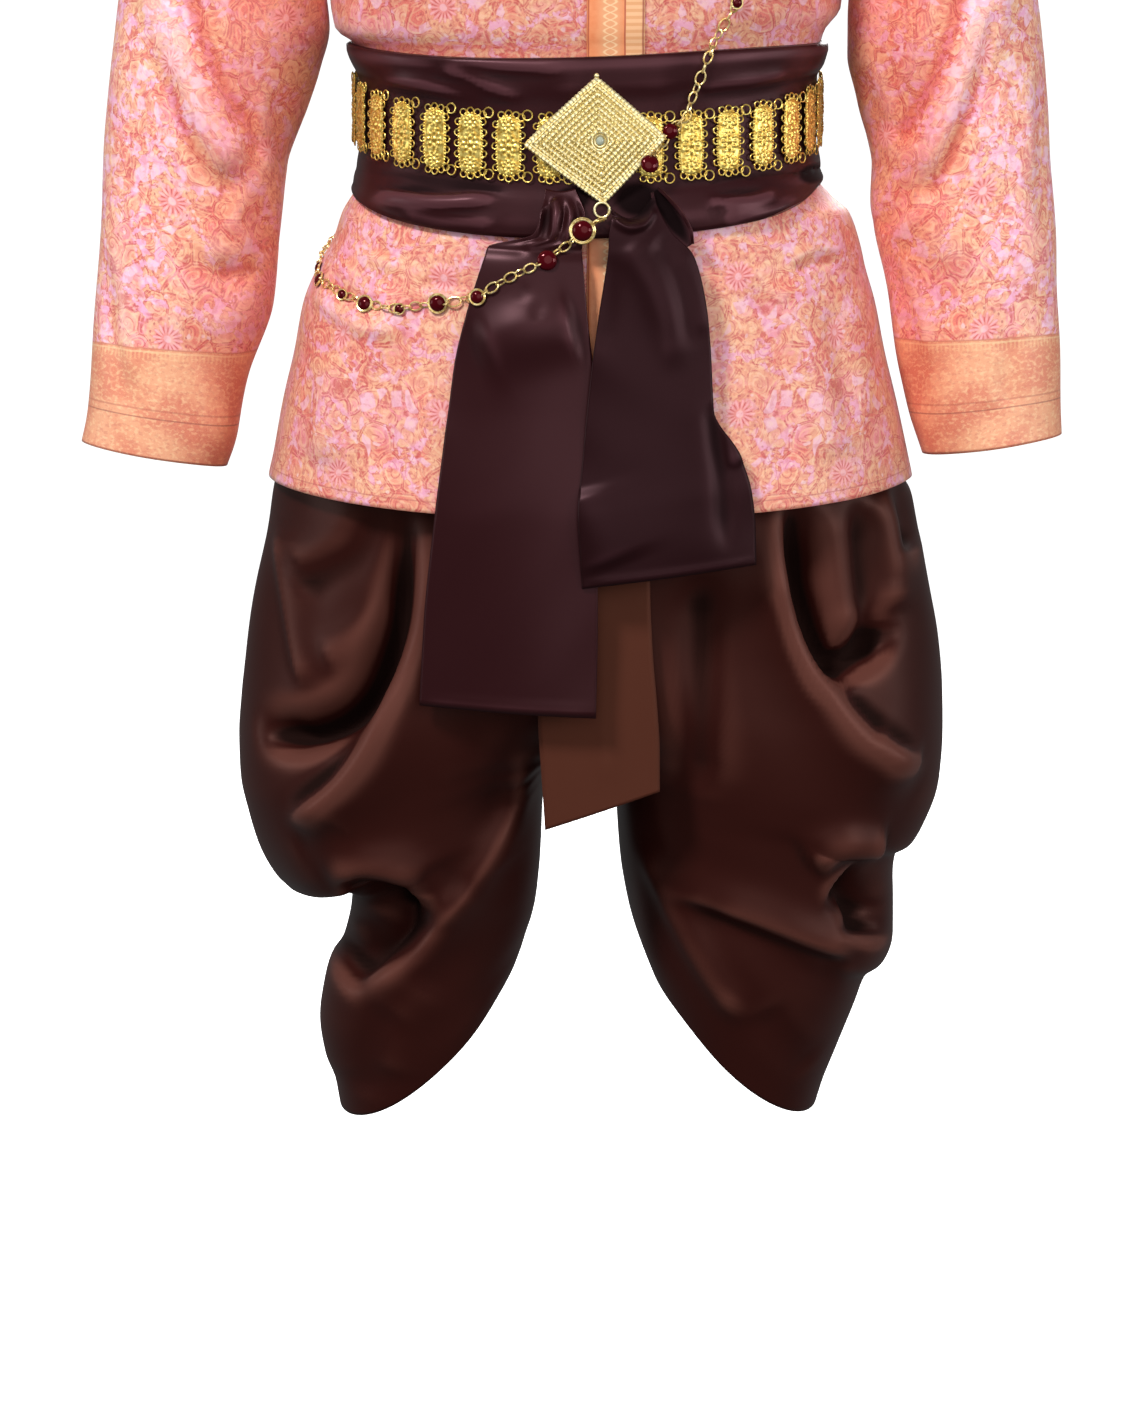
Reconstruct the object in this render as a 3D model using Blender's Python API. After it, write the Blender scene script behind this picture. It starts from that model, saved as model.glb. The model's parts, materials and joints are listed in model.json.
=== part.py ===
"""A man's Thai court outfit: brocade jacket, satin sash, plate belt, garnet chain and chong kraben trousers.

Metres, +Z up, -Y is the front and +X the viewer's right. The origin is the centre of the waist at the belt.
Cloth pieces are walls on surfaces that are worked out from tables of sections and of folds.
"""

import math

import bmesh
import bpy
import numpy as np
from mathutils import Matrix, Vector
from mathutils.bvhtree import BVHTree

MM = 0.001
DEG = math.pi / 180

# Cloth and seams
SEAM = 0.3 * MM
BROCADE = 2.0 * MM
TROUSER_SATIN = 2.0 * MM
SASH_WRAP = 3.0 * MM
SASH_END = 2.2 * MM
STAND_COLLAR = 2.6 * MM
WAISTBAND = 2.4 * MM
WAISTBAND_GAP = 1.9 * MM
LAYER_GAP = 1.5 * MM
SQUARENESS = 0.10
SLOPE_STEP = 1e-4

# Jacket
HEM_SIDE = -0.2735
HEM_DROP = 0.016
HEM_FADE = -0.11
NECK_HEIGHT = 0.430
SHOULDER_HEIGHT = 0.375
ARMPIT_HEIGHT = 0.236
ARMHOLE_ANGLE = 36 * DEG
ARMHOLE_STEPS = 9
PLACKET_CLOTH = 1.0 * MM
PLACKET_LEFT = -0.0033
PLACKET_RIGHT = 0.0400
COLLAR_HEIGHT = 0.034
COLLAR_OPENING = 7 * DEG

# Trousers; their folds start at one height, under the jacket, and have their full depth at the other
BAND_BOTTOM = -0.016
BAND_HEIGHT = 0.036
FRONT_FLAP_CLOTH = 1.6 * MM
BACK_ROLL_CLOTH = 2.0 * MM
ROLL_WAVE = 0.002
FOLDS_FROM = -0.262
FOLDS_FULL = -0.300

# Sash
SASH_TOP = 0.0605
SASH_TOP_DIP = 0.008
SASH_BOTTOM_SIDE = -0.0490
SASH_BOTTOM_DROP = 0.033
SASH_BOTTOM_TILT = 0.0045
SASH_ROWS = (0.0, 0.05, 0.15, 0.27, 0.50, 0.73, 0.80, 0.90, 1.0)
OVER_PLACKET = PLACKET_CLOTH + 0.6 * MM
SHEET_BOW = 1.2
END_BOW = 0.003
END_SAG_LENGTH = 0.45
END_PLEAT_HEIGHT = 0.0045
END_PLEAT_LENGTH = 0.30

# Belt, buckle and chain
PLATE_WIDTH = 0.0245
PLATE_HEIGHT = 0.0560
PLATE_BASE = 1.0 * MM
PLATE_CLEARANCE = 0.5 * MM
CORE_WIDTH = 0.0185
CORE_HEIGHT = 0.0450
CORE_RISE = 1.1 * MM
LUG_HEIGHT = 0.0032
BELT_SIDE_HEIGHT = 0.009
BELT_DIP = 0.0235
BUCKLE_CENTRE = (0.0064, -0.1386, -0.0082)
BUCKLE_HALF_WIDTH = 0.0545
BUCKLE_HALF_HEIGHT = 0.0470
BUCKLE_TURN = 3 * DEG
BUCKLE_BOW = 1.02
FIRST_PLATE = 0.0672
HIDDEN_PLATE = 0.0370
PLATES_A_SIDE = 15
RING_CENTRE = (0.0079, -0.1420, -0.0596)
RING_RADIUS = 5.6 * MM
RING_WIRE = 1.0 * MM
CHAIN_WIRE = 1.2 * MM
CHAIN_REST = 0.8 * MM
STONE_FLATNESS = 0.45
LOOK_FROM = 0.02

# name: colour, roughness, metallic
FINISHES = {
    "brocade": ((0.80, 0.34, 0.24), 0.55, 0.0),
    "sash_satin": ((0.045, 0.020, 0.022), 0.35, 0.0),
    "trouser_satin": ((0.075, 0.026, 0.022), 0.38, 0.0),
    "flap_satin": ((0.105, 0.045, 0.028), 0.40, 0.0),
    "gold": ((0.83, 0.58, 0.16), 0.30, 1.0),
    "garnet_chain": ((0.62, 0.36, 0.12), 0.30, 1.0),
}

# height, half width at the left and right, depth to the front and back
TORSO = (
    (-0.300, 0.2515, 0.2515, 0.1660, 0.1780),
    (-0.2743, 0.2489, 0.2482, 0.1630, 0.1740),
    (-0.2564, 0.2449, 0.2447, 0.1600, 0.1710),
    (-0.2152, 0.2369, 0.2360, 0.1540, 0.1635),
    (-0.1780, 0.2281, 0.2268, 0.1480, 0.1545),
    (-0.1400, 0.2210, 0.2189, 0.1410, 0.1470),
    (-0.1123, 0.2099, 0.2109, 0.1360, 0.1415),
    (-0.0899, 0.1975, 0.2061, 0.1325, 0.1375),
    (-0.0700, 0.1905, 0.1985, 0.1300, 0.1335),
    (-0.0600, 0.1845, 0.1870, 0.1290, 0.1310),
    (-0.0500, 0.1775, 0.1770, 0.1282, 0.1295),
    (-0.0440, 0.1755, 0.1740, 0.1275, 0.1285),
    (-0.0370, 0.1736, 0.1695, 0.1270, 0.1275),
    (0.0000, 0.1733, 0.1688, 0.1270, 0.1270),
    (0.0330, 0.1736, 0.1692, 0.1272, 0.1274),
    (0.0500, 0.1795, 0.1735, 0.1280, 0.1280),
    (0.0602, 0.1830, 0.1765, 0.1290, 0.1290),
    (0.0680, 0.1950, 0.1790, 0.1320, 0.1330),
    (0.0853, 0.1980, 0.1915, 0.1350, 0.1370),
    (0.1300, 0.1995, 0.1950, 0.1390, 0.1420),
    (0.1800, 0.2030, 0.1990, 0.1410, 0.1470),
    (0.2360, 0.2085, 0.2045, 0.1410, 0.1500),
    (0.3000, 0.2150, 0.2110, 0.1340, 0.1460),
    (0.3400, 0.2210, 0.2170, 0.1180, 0.1320),
    (0.3750, 0.2250, 0.2210, 0.0950, 0.1060),
    (0.4000, 0.1560, 0.1560, 0.0830, 0.0900),
    (0.4300, 0.0780, 0.0780, 0.0700, 0.0740),
)

# outer x, outer height, inner x, inner height, half depth to the front and back, shift to the back
LEFT_SLEEVE = (
    (0.2620, 0.3580, 0.2190, 0.2340, 0.0800, 0.0800, 0.000),
    (0.3000, 0.3000, 0.2190, 0.2080, 0.0770, 0.0790, 0.000),
    (0.3300, 0.2150, 0.2095, 0.1650, 0.0740, 0.0770, 0.000),
    (0.3500, 0.1450, 0.2045, 0.1180, 0.0720, 0.0750, 0.000),
    (0.3616, 0.0906, 0.1998, 0.0710, 0.0700, 0.0730, 0.000),
    (0.3655, 0.0620, 0.2074, 0.0396, 0.0690, 0.0710, 0.000),
    (0.3685, 0.0320, 0.2170, 0.0100, 0.0680, 0.0690, 0.000),
    (0.3721, -0.0147, 0.2325, -0.0353, 0.0640, 0.0650, -0.002),
    (0.3740, -0.0450, 0.2360, -0.0640, 0.0600, 0.0620, -0.004),
    (0.3759, -0.0730, 0.2398, -0.0968, 0.0580, 0.0600, -0.006),
    (0.3796, -0.1200, 0.2448, -0.1393, 0.0550, 0.0560, -0.008),
    (0.3849, -0.1795, 0.2630, -0.1958, 0.0500, 0.0510, -0.011),
    (0.3886, -0.2268, 0.2730, -0.2440, 0.0470, 0.0480, -0.014),
    (0.3920, -0.2463, 0.2814, -0.2650, 0.0455, 0.0465, -0.015),
)
RIGHT_SLEEVE = (
    (0.2580, 0.3580, 0.2155, 0.2340, 0.0800, 0.0800, 0.000),
    (0.2920, 0.3000, 0.2150, 0.2080, 0.0770, 0.0790, 0.000),
    (0.3200, 0.2150, 0.2060, 0.1650, 0.0740, 0.0770, 0.000),
    (0.3345, 0.1450, 0.2005, 0.1180, 0.0710, 0.0740, 0.000),
    (0.3424, 0.0906, 0.1965, 0.0770, 0.0690, 0.0720, 0.000),
    (0.3455, 0.0620, 0.1955, 0.0488, 0.0680, 0.0700, 0.000),
    (0.3486, 0.0320, 0.2045, 0.0150, 0.0660, 0.0680, 0.000),
    (0.3530, -0.0147, 0.2165, -0.0350, 0.0620, 0.0640, -0.002),
    (0.3552, -0.0450, 0.2160, -0.0614, 0.0600, 0.0620, -0.004),
    (0.3569, -0.0730, 0.2192, -0.0876, 0.0580, 0.0600, -0.006),
    (0.3598, -0.1200, 0.2290, -0.1380, 0.0540, 0.0560, -0.008),
    (0.3614, -0.1795, 0.2390, -0.1900, 0.0500, 0.0510, -0.011),
    (0.3622, -0.2200, 0.2460, -0.2250, 0.0470, 0.0480, -0.014),
    (0.3630, -0.2408, 0.2560, -0.2560, 0.0455, 0.0465, -0.015),
)

# inner x, inner height, outer x, outer height, front, back, angle where the sheet starts, droop of the front
LEFT_LEG = (
    (0.0000, -0.0163, 0.1686, -0.0163, 0.1222, 0.1222, 90, 0.000),
    (0.0000, -0.0420, 0.1688, -0.0420, 0.1222, 0.1230, 90, 0.000),
    (0.0000, -0.1000, 0.1900, -0.1000, 0.1260, 0.1300, 90, 0.000),
    (0.0000, -0.1600, 0.2110, -0.1600, 0.1310, 0.1380, 90, 0.000),
    (0.0000, -0.2250, 0.2300, -0.2250, 0.1370, 0.1460, 90, 0.000),
    (0.0000, -0.2790, 0.2443, -0.2790, 0.1410, 0.1500, 90, 0.000),
    (0.0000, -0.3110, 0.2500, -0.3150, 0.1420, 0.1510, 90, 0.000),
    (0.0000, -0.3520, 0.2590, -0.3604, 0.1410, 0.1500, 90, 0.000),
    (0.0000, -0.3920, 0.2672, -0.4090, 0.1390, 0.1480, 86, 0.000),
    (0.0000, -0.4250, 0.2722, -0.4460, 0.1360, 0.1450, 72, 0.000),
    (0.0000, -0.4500, 0.2740, -0.4746, 0.1330, 0.1420, 52, 0.000),
    (0.0000, -0.4680, 0.2727, -0.5071, 0.1300, 0.1380, 28, 0.000),
    (0.0100, -0.4800, 0.2667, -0.5365, 0.1270, 0.1350, 6, 0.000),
    (0.0260, -0.4920, 0.2575, -0.5667, 0.1240, 0.1320, 0, 0.000),
    (0.0345, -0.5050, 0.2413, -0.5930, 0.1210, 0.1280, 0, 0.000),
    (0.0368, -0.5200, 0.2265, -0.6025, 0.1180, 0.1240, 0, 0.000),
    (0.0372, -0.5350, 0.2021, -0.5970, 0.1120, 0.1180, 0, 0.000),
    (0.0375, -0.5520, 0.1870, -0.6025, 0.1060, 0.1120, 0, 0.000),
    (0.0382, -0.5720, 0.1890, -0.6180, 0.1020, 0.1080, 0, 0.000),
    (0.0398, -0.5900, 0.1960, -0.6380, 0.0990, 0.1050, 0, 0.002),
    (0.0420, -0.6060, 0.2073, -0.6657, 0.0950, 0.1010, 0, 0.006),
    (0.0455, -0.6200, 0.2122, -0.6994, 0.0910, 0.0970, 0, 0.012),
    (0.0500, -0.6320, 0.2077, -0.7292, 0.0860, 0.0920, 0, 0.018),
    (0.0535, -0.6420, 0.1995, -0.7500, 0.0820, 0.0880, 0, 0.025),
    (0.0565, -0.6490, 0.1961, -0.7695, 0.0780, 0.0840, 0, 0.030),
)
RIGHT_LEG = (
    (0.0000, -0.0163, 0.1642, -0.0163, 0.1222, 0.1222, 90, 0.000),
    (0.0000, -0.0420, 0.1645, -0.0420, 0.1222, 0.1230, 90, 0.000),
    (0.0000, -0.1000, 0.1900, -0.1000, 0.1260, 0.1300, 90, 0.000),
    (0.0000, -0.1600, 0.2110, -0.1600, 0.1310, 0.1380, 90, 0.000),
    (0.0000, -0.2200, 0.2285, -0.2200, 0.1365, 0.1455, 90, 0.000),
    (0.0000, -0.2700, 0.2400, -0.2700, 0.1400, 0.1490, 90, 0.000),
    (0.0000, -0.2880, 0.2498, -0.2880, 0.1410, 0.1500, 90, 0.000),
    (0.0000, -0.3150, 0.2562, -0.3150, 0.1415, 0.1505, 90, 0.000),
    (0.0000, -0.3560, 0.2645, -0.3600, 0.1400, 0.1490, 90, 0.000),
    (0.0000, -0.3960, 0.2708, -0.4000, 0.1380, 0.1470, 84, 0.000),
    (0.0000, -0.4300, 0.2740, -0.4400, 0.1350, 0.1440, 68, 0.000),
    (0.0000, -0.4540, 0.2748, -0.4746, 0.1325, 0.1415, 46, 0.000),
    (0.0000, -0.4700, 0.2721, -0.5134, 0.1295, 0.1380, 22, 0.000),
    (0.0080, -0.4820, 0.2622, -0.5436, 0.1265, 0.1345, 3, 0.000),
    (0.0150, -0.4950, 0.2515, -0.5620, 0.1235, 0.1310, 0, 0.000),
    (0.0185, -0.5100, 0.2402, -0.5690, 0.1205, 0.1275, 0, 0.000),
    (0.0200, -0.5250, 0.2378, -0.5860, 0.1180, 0.1250, 0, 0.000),
    (0.0212, -0.5404, 0.2385, -0.6080, 0.1150, 0.1210, 0, 0.000),
    (0.0230, -0.5600, 0.2373, -0.6393, 0.1110, 0.1170, 0, 0.000),
    (0.0250, -0.5780, 0.2296, -0.6593, 0.1070, 0.1130, 0, 0.000),
    (0.0280, -0.5970, 0.2170, -0.6680, 0.1020, 0.1080, 0, 0.002),
    (0.0315, -0.6150, 0.2071, -0.6922, 0.0960, 0.1020, 0, 0.008),
    (0.0360, -0.6310, 0.1925, -0.7270, 0.0890, 0.0950, 0, 0.016),
    (0.0410, -0.6430, 0.1835, -0.7500, 0.0830, 0.0890, 0, 0.022),
    (0.0455, -0.6520, 0.1785, -0.7680, 0.0780, 0.0840, 0, 0.027),
)

# left x, left height, right x, right height, y of the front face
LEFT_END = (
    (-0.0340, -0.0440, -0.0120, -0.0440, -0.1358),
    (-0.0370, -0.0600, -0.0045, -0.0640, -0.1440),
    (-0.0430, -0.0770, -0.0065, -0.0840, -0.1470),
    (-0.0768, -0.0870, -0.0070, -0.0900, -0.1460),
    (-0.0800, -0.0960, -0.0062, -0.1000, -0.1500),
    (-0.0932, -0.1364, -0.0030, -0.1364, -0.1560),
    (-0.1020, -0.1720, 0.0010, -0.1720, -0.1580),
    (-0.1067, -0.2080, 0.0040, -0.2080, -0.1610),
    (-0.1174, -0.2883, 0.0045, -0.2883, -0.1705),
    (-0.1260, -0.3690, 0.0050, -0.3690, -0.1710),
    (-0.1292, -0.4320, 0.0037, -0.4390, -0.1700),
)
RIGHT_END = (
    (0.0150, -0.0590, 0.0460, -0.0490, -0.1490),
    (0.0150, -0.0620, 0.0480, -0.0540, -0.1515),
    (0.0146, -0.0680, 0.0520, -0.0625, -0.1535),
    (0.0132, -0.0770, 0.0600, -0.0760, -0.1545),
    (0.0125, -0.0900, 0.0760, -0.0930, -0.1560),
    (0.0048, -0.1411, 0.0853, -0.1277, -0.1600),
    (-0.0018, -0.1939, 0.0895, -0.1678, -0.1640),
    (-0.0070, -0.2478, 0.0915, -0.2070, -0.1690),
    (-0.0092, -0.2700, 0.1120, -0.2430, -0.1720),
    (-0.0099, -0.2875, 0.1205, -0.2700, -0.1745),
    (-0.0085, -0.3140, 0.1236, -0.2980, -0.1750),
    (-0.0069, -0.3402, 0.1238, -0.3244, -0.1745),
)
FRONT_FLAP = (
    (-0.0340, -0.1000, 0.0400, -0.1000, -0.1286),
    (-0.0360, -0.1600, 0.0420, -0.1600, -0.1356),
    (-0.0380, -0.2300, 0.0430, -0.2300, -0.1426),
    (-0.0395, -0.2900, 0.0440, -0.2900, -0.1466),
    (-0.0405, -0.3500, 0.0445, -0.3450, -0.1486),
    (-0.0405, -0.4000, 0.0467, -0.3944, -0.1496),
    (-0.0399, -0.4463, 0.0498, -0.4303, -0.1496),
    (-0.0377, -0.4815, 0.0521, -0.4669, -0.1491),
    (-0.0347, -0.5283, 0.0522, -0.4991, -0.1486),
)
BACK_ROLL = (
    (-0.0240, -0.1350, 0.0240, -0.1350, 0.1395),
    (-0.0250, -0.1700, 0.0250, -0.1700, 0.1450),
    (-0.0260, -0.2300, 0.0260, -0.2300, 0.1525),
    (-0.0270, -0.2900, 0.0270, -0.2900, 0.1570),
    (-0.0270, -0.3500, 0.0270, -0.3500, 0.1570),
    (-0.0250, -0.4000, 0.0250, -0.4000, 0.1540),
    (-0.0200, -0.4400, 0.0200, -0.4400, 0.1490),
)

# axis of the knot's loop: x, height, y, then its half width and half depth
KNOT_LOOP = (
    (0.0475, -0.0450, -0.1400, 0.0040, 0.0040),
    (0.0535, -0.0555, -0.1430, 0.0078, 0.0080),
    (0.0605, -0.0665, -0.1450, 0.0098, 0.0095),
    (0.0675, -0.0775, -0.1450, 0.0088, 0.0085),
    (0.0735, -0.0865, -0.1430, 0.0040, 0.0050),
)
LOOP_START = 170
LOOP_END = 385

# height, spread over the left and the right side of the line, line of x and height on the front
JACKET_FOLDS = (
    (0.0040, 0.012, 0.020, ((-0.150, -0.110), (-0.190, -0.190), (-0.205, -0.260))),
    (-0.0030, 0.012, 0.012, ((-0.125, -0.110), (-0.150, -0.200), (-0.155, -0.270))),
    (0.0035, 0.014, 0.018, ((0.140, -0.105), (0.170, -0.190), (0.185, -0.255))),
    (-0.0030, 0.012, 0.012, ((0.115, -0.110), (0.140, -0.190), (0.148, -0.270))),
    (0.0040, 0.014, 0.018, ((-0.150, 0.090), (-0.140, 0.150), (-0.165, 0.230))),
    (0.0040, 0.014, 0.018, ((0.145, 0.090), (0.140, 0.150), (0.165, 0.230))),
)
LEFT_SLEEVE_FOLDS = (
    (0.0060, 0.012, 0.022, ((-0.345, 0.150), (-0.325, 0.080), (-0.290, 0.000), (-0.262, -0.040))),
    (-0.0050, 0.012, 0.012, ((-0.310, 0.120), (-0.292, 0.060), (-0.262, 0.000), (-0.240, -0.030))),
    (0.0050, 0.010, 0.014, ((-0.235, 0.020), (-0.262, -0.060), (-0.300, -0.100))),
    (-0.0040, 0.010, 0.010, ((-0.242, -0.085), (-0.275, -0.110), (-0.320, -0.110))),
    (0.0040, 0.010, 0.014, ((-0.250, -0.130), (-0.285, -0.150), (-0.330, -0.150))),
)
RIGHT_SLEEVE_FOLDS = (
    (0.0060, 0.022, 0.012, ((0.320, 0.140), (0.300, 0.070), (0.270, 0.000), (0.245, -0.050))),
    (-0.0050, 0.012, 0.012, ((0.285, 0.120), (0.268, 0.060), (0.245, 0.010), (0.226, -0.020))),
    (0.0050, 0.014, 0.010, ((0.222, -0.010), (0.250, -0.070), (0.290, -0.110))),
    (-0.0040, 0.010, 0.010, ((0.228, -0.080), (0.255, -0.110), (0.300, -0.125))),
    (0.0040, 0.014, 0.010, ((0.235, -0.130), (0.265, -0.155), (0.310, -0.160))),
)
LEFT_LEG_FOLDS = (
    (-0.0240, 0.0160, 0.0120, ((-0.136, -0.272), (-0.141, -0.356), (-0.151, -0.397), (-0.172, -0.433),
                               (-0.194, -0.452), (-0.229, -0.464), (-0.262, -0.467))),
    (0.0150, 0.0090, 0.0300, ((-0.128, -0.272), (-0.135, -0.348), (-0.142, -0.391), (-0.152, -0.433),
                              (-0.165, -0.465), (-0.186, -0.496), (-0.210, -0.519), (-0.235, -0.538))),
    (0.0100, 0.0120, 0.0120, ((-0.143, -0.280), (-0.152, -0.341), (-0.165, -0.372), (-0.190, -0.394),
                              (-0.208, -0.405))),
    (-0.0100, 0.0200, 0.0200, ((-0.103, -0.425), (-0.092, -0.494), (-0.093, -0.556), (-0.107, -0.587))),
    (0.0080, 0.0100, 0.0200, ((-0.049, -0.460), (-0.058, -0.500), (-0.074, -0.545), (-0.090, -0.573),
                              (-0.109, -0.601), (-0.130, -0.628), (-0.163, -0.653), (-0.199, -0.670))),
    (-0.0240, 0.0180, 0.0180, ((-0.140, -0.582), (-0.147, -0.614), (-0.171, -0.635), (-0.200, -0.657))),
    (0.0100, 0.0100, 0.0180, ((-0.203, -0.579), (-0.175, -0.565), (-0.147, -0.568), (-0.129, -0.587),
                              (-0.128, -0.614))),
)
RIGHT_LEG_FOLDS = (
    (0.0150, 0.0300, 0.0090, ((0.137, -0.265), (0.146, -0.341), (0.159, -0.381), (0.178, -0.423),
                              (0.201, -0.455), (0.229, -0.480), (0.260, -0.498))),
    (-0.0200, 0.0090, 0.0160, ((0.152, -0.265), (0.157, -0.341), (0.169, -0.385), (0.186, -0.408),
                               (0.210, -0.400), (0.240, -0.378))),
    (0.0100, 0.0080, 0.0100, ((0.216, -0.260), (0.229, -0.308), (0.235, -0.347), (0.232, -0.371))),
    (-0.0220, 0.0160, 0.0160, ((0.188, -0.575), (0.205, -0.589), (0.216, -0.610), (0.211, -0.629))),
    (0.0110, 0.0100, 0.0160, ((0.166, -0.565), (0.197, -0.548), (0.229, -0.551))),
    (0.0080, 0.0060, 0.0160, ((0.084, -0.593), (0.115, -0.598), (0.141, -0.609), (0.172, -0.623),
                              (0.210, -0.639))),
    (-0.0080, 0.0160, 0.0060, ((0.088, -0.607), (0.118, -0.614), (0.145, -0.626), (0.174, -0.639),
                               (0.203, -0.649))),
    (0.0060, 0.0100, 0.0120, ((0.041, -0.548), (0.064, -0.599), (0.090, -0.647), (0.122, -0.693))),
    (-0.0080, 0.0160, 0.0160, ((0.084, -0.326), (0.084, -0.425), (0.080, -0.510))),
)
SASH_FOLDS = (
    (0.0030, 0.006, 0.008, ((-0.185, 0.040), (-0.120, 0.030), (-0.060, 0.012))),
    (0.0030, 0.006, 0.008, ((0.165, 0.022), (0.120, 0.026), (0.090, 0.012))),
    (0.0040, 0.008, 0.010, ((-0.180, -0.056), (-0.130, -0.058), (-0.066, -0.052))),
    (0.0040, 0.008, 0.010, ((0.172, -0.056), (0.130, -0.064), (0.092, -0.064))),
)

# place from the top edge to the bottom edge, swell at the left and at the right
SASH_SWELL = (
    (0.00, 0.0002, 0.0006),
    (0.05, 0.0018, 0.0030),
    (0.14, 0.0014, 0.0030),
    (0.26, 0.0000, 0.0000),
    (0.73, 0.0000, 0.0000),
    (0.80, 0.0012, 0.0026),
    (0.90, 0.0020, 0.0030),
    (1.00, 0.0003, 0.0004),
)

# where a chain rests: seen from which way, x, height (or y from above), radius of the stone set there in mm
CHAIN_UPPER = (
    ("above", 0.1440, -0.0040, 0.0),
    ("above", 0.1480, -0.0560, 0.0),
    ("front", 0.1500, 0.3600, 0.0),
    ("front", 0.1520, 0.3300, 0.0),
    ("front", 0.1530, 0.2450, 5.5),
    ("front", 0.1490, 0.2000, 0.0),
    ("front", 0.1400, 0.1600, 0.0),
    ("front", 0.1260, 0.1230, 0.0),
    ("front", 0.1080, 0.0930, 5.0),
    ("front", 0.0905, 0.0640, 0.0),
    ("front", 0.0830, 0.0430, 0.0),
    ("front", 0.0755, 0.0240, 0.0),
    ("front", 0.0690, 0.0080, 0.0),
    ("front", 0.0585, -0.0020, 6.0),
    ("front", 0.0410, -0.0285, 7.0),
)
CHAIN_LOWER = (
    ("front", 0.0070, -0.0660, 0.0),
    ("front", -0.0062, -0.0745, 10.2),
    ("front", -0.0330, -0.0965, 7.5),
    ("front", -0.0629, -0.1105, 0.0),
    ("front", -0.0846, -0.1240, 6.5),
    ("front", -0.1010, -0.1290, 0.0),
    ("front", -0.1145, -0.1307, 8.0),
    ("front", -0.1440, -0.1360, 0.0),
    ("front", -0.1690, -0.1340, 4.6),
    ("front", -0.1870, -0.1290, 0.0),
    ("left", -0.0450, -0.1200, 0.0),
    ("left", -0.0260, -0.1120, 4.6),
    ("left", -0.0030, -0.1020, 0.0),
    ("left", 0.0285, -0.0940, 0.0),
)
CHAIN_BACK = (
    ("above", 0.1440, 0.0050, 0.0),
    ("above", 0.1430, 0.0300, 0.0),
    ("above", 0.1410, 0.0580, 0.0),
    ("back", 0.1390, 0.3600, 0.0),
    ("back", 0.1360, 0.3250, 0.0),
    ("back", 0.1180, 0.2450, 5.5),
    ("back", 0.1060, 0.2050, 0.0),
    ("back", 0.0920, 0.1650, 0.0),
    ("back", 0.0760, 0.1280, 0.0),
    ("back", 0.0580, 0.0930, 5.5),
    ("back", 0.0250, 0.0380, 0.0),
    ("back", 0.0080, 0.0130, 0.0),
    ("back", -0.0100, -0.0120, 0.0),
    ("back", -0.0300, -0.0380, 0.0),
    ("back", -0.0560, -0.0640, 5.5),
    ("back", -0.0840, -0.0830, 0.0),
    ("back", -0.1120, -0.0950, 0.0),
    ("back", -0.1400, -0.1000, 0.0),
    ("left", 0.0820, -0.0990, 0.0),
    ("left", 0.0550, -0.0970, 0.0),
    ("left", 0.0297, -0.0937, 0.0),
)
# heights of the rows of the jacket's walls between the hem and the armhole, and on the shoulder
SKIRT_ROWS = (-0.225, -0.178, -0.140, -0.112, -0.090, -0.070, -0.058)
WAIST_ROWS = (-0.045, -0.037, 0.033, 0.050, 0.0602, 0.068, 0.0853, 0.130, 0.185)
YOKE_ROW = 0.400

# share of the buckle's outline and height in mm of each of its steps
BUCKLE_STEPS = (
    (1.00, 0.0),
    (1.00, 1.8),
    (0.90, 2.2),
    (0.88, 3.0),
    (0.62, 3.4),
    (0.60, 4.2),
    (0.34, 4.6),
    (0.32, 5.4),
    (0.12, 5.8),
    (0.07, 7.4),
)

# the two axes of a table's numbers, and the way that a ray goes to the cloth
RAYS = {
    "above": ((1, 0, 0), (0, 1, 0), (0, 0, -1)),
    "front": ((1, 0, 0), (0, 0, 1), (0, 1, 0)),
    "back": ((1, 0, 0), (0, 0, 1), (0, -1, 0)),
    "left": ((0, 1, 0), (0, 0, 1), (1, 0, 0)),
}


# ---------------------------------------------------------------- sections and surfaces

def through(keys, values, at):
    """A smooth curve through values at rising keys, read at each number in at."""
    keys = np.asarray(keys, float)
    values = np.asarray(values, float)
    at = np.clip(at, keys[0], keys[-1])
    steps = np.diff(keys)
    slopes = np.diff(values, axis=0) / steps[:, None]
    before = np.vstack([slopes[:1], slopes])
    after = np.vstack([slopes, slopes[-1:]])
    tangents = np.where(before * after > 0, 2 * before * after / (before + after + 1e-12), 0.0)
    tangents[0] = slopes[0]
    tangents[-1] = slopes[-1]
    span = np.clip(np.searchsorted(keys, at, side="right") - 1, 0, len(steps) - 1)
    width = steps[span][..., None]
    t = ((at - keys[span]) / steps[span])[..., None]
    rest = (2 * t**3 - 3 * t**2 + 1) * values[span] + (t**3 - 2 * t**2 + t) * width * tangents[span]
    return rest + (3 * t**2 - 2 * t**3) * values[span + 1] + (t**3 - t**2) * width * tangents[span + 1]


def rows_along(table, v):
    """The columns of a table at v, which runs from 0 at its first row to 1 at its last."""
    return np.moveaxis(through(np.arange(len(table)), table, v * (len(table) - 1)), -1, 0)


def smoothstep(low, high, value):
    t = np.clip((value - low) / (high - low), 0, 1)
    return t * t * (3 - 2 * t)


def torso(angle, height):
    """The body's surface; angle 0 is the front, and it grows to the viewer's right."""
    sizes = through([row[0] for row in TORSO], [row[1:] for row in TORSO], height)
    left, right, front, back = np.moveaxis(sizes, -1, 0)
    side = np.where(np.sin(angle) < 0, left, right)
    depth = np.where(np.cos(angle) > 0, front, back)
    x = side * np.sin(angle) * (1 + SQUARENESS * np.cos(angle) ** 2)
    y = -depth * np.cos(angle) * (1 + SQUARENESS * np.sin(angle) ** 2)
    return np.stack([x, y, height + 0 * x], axis=-1)


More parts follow.
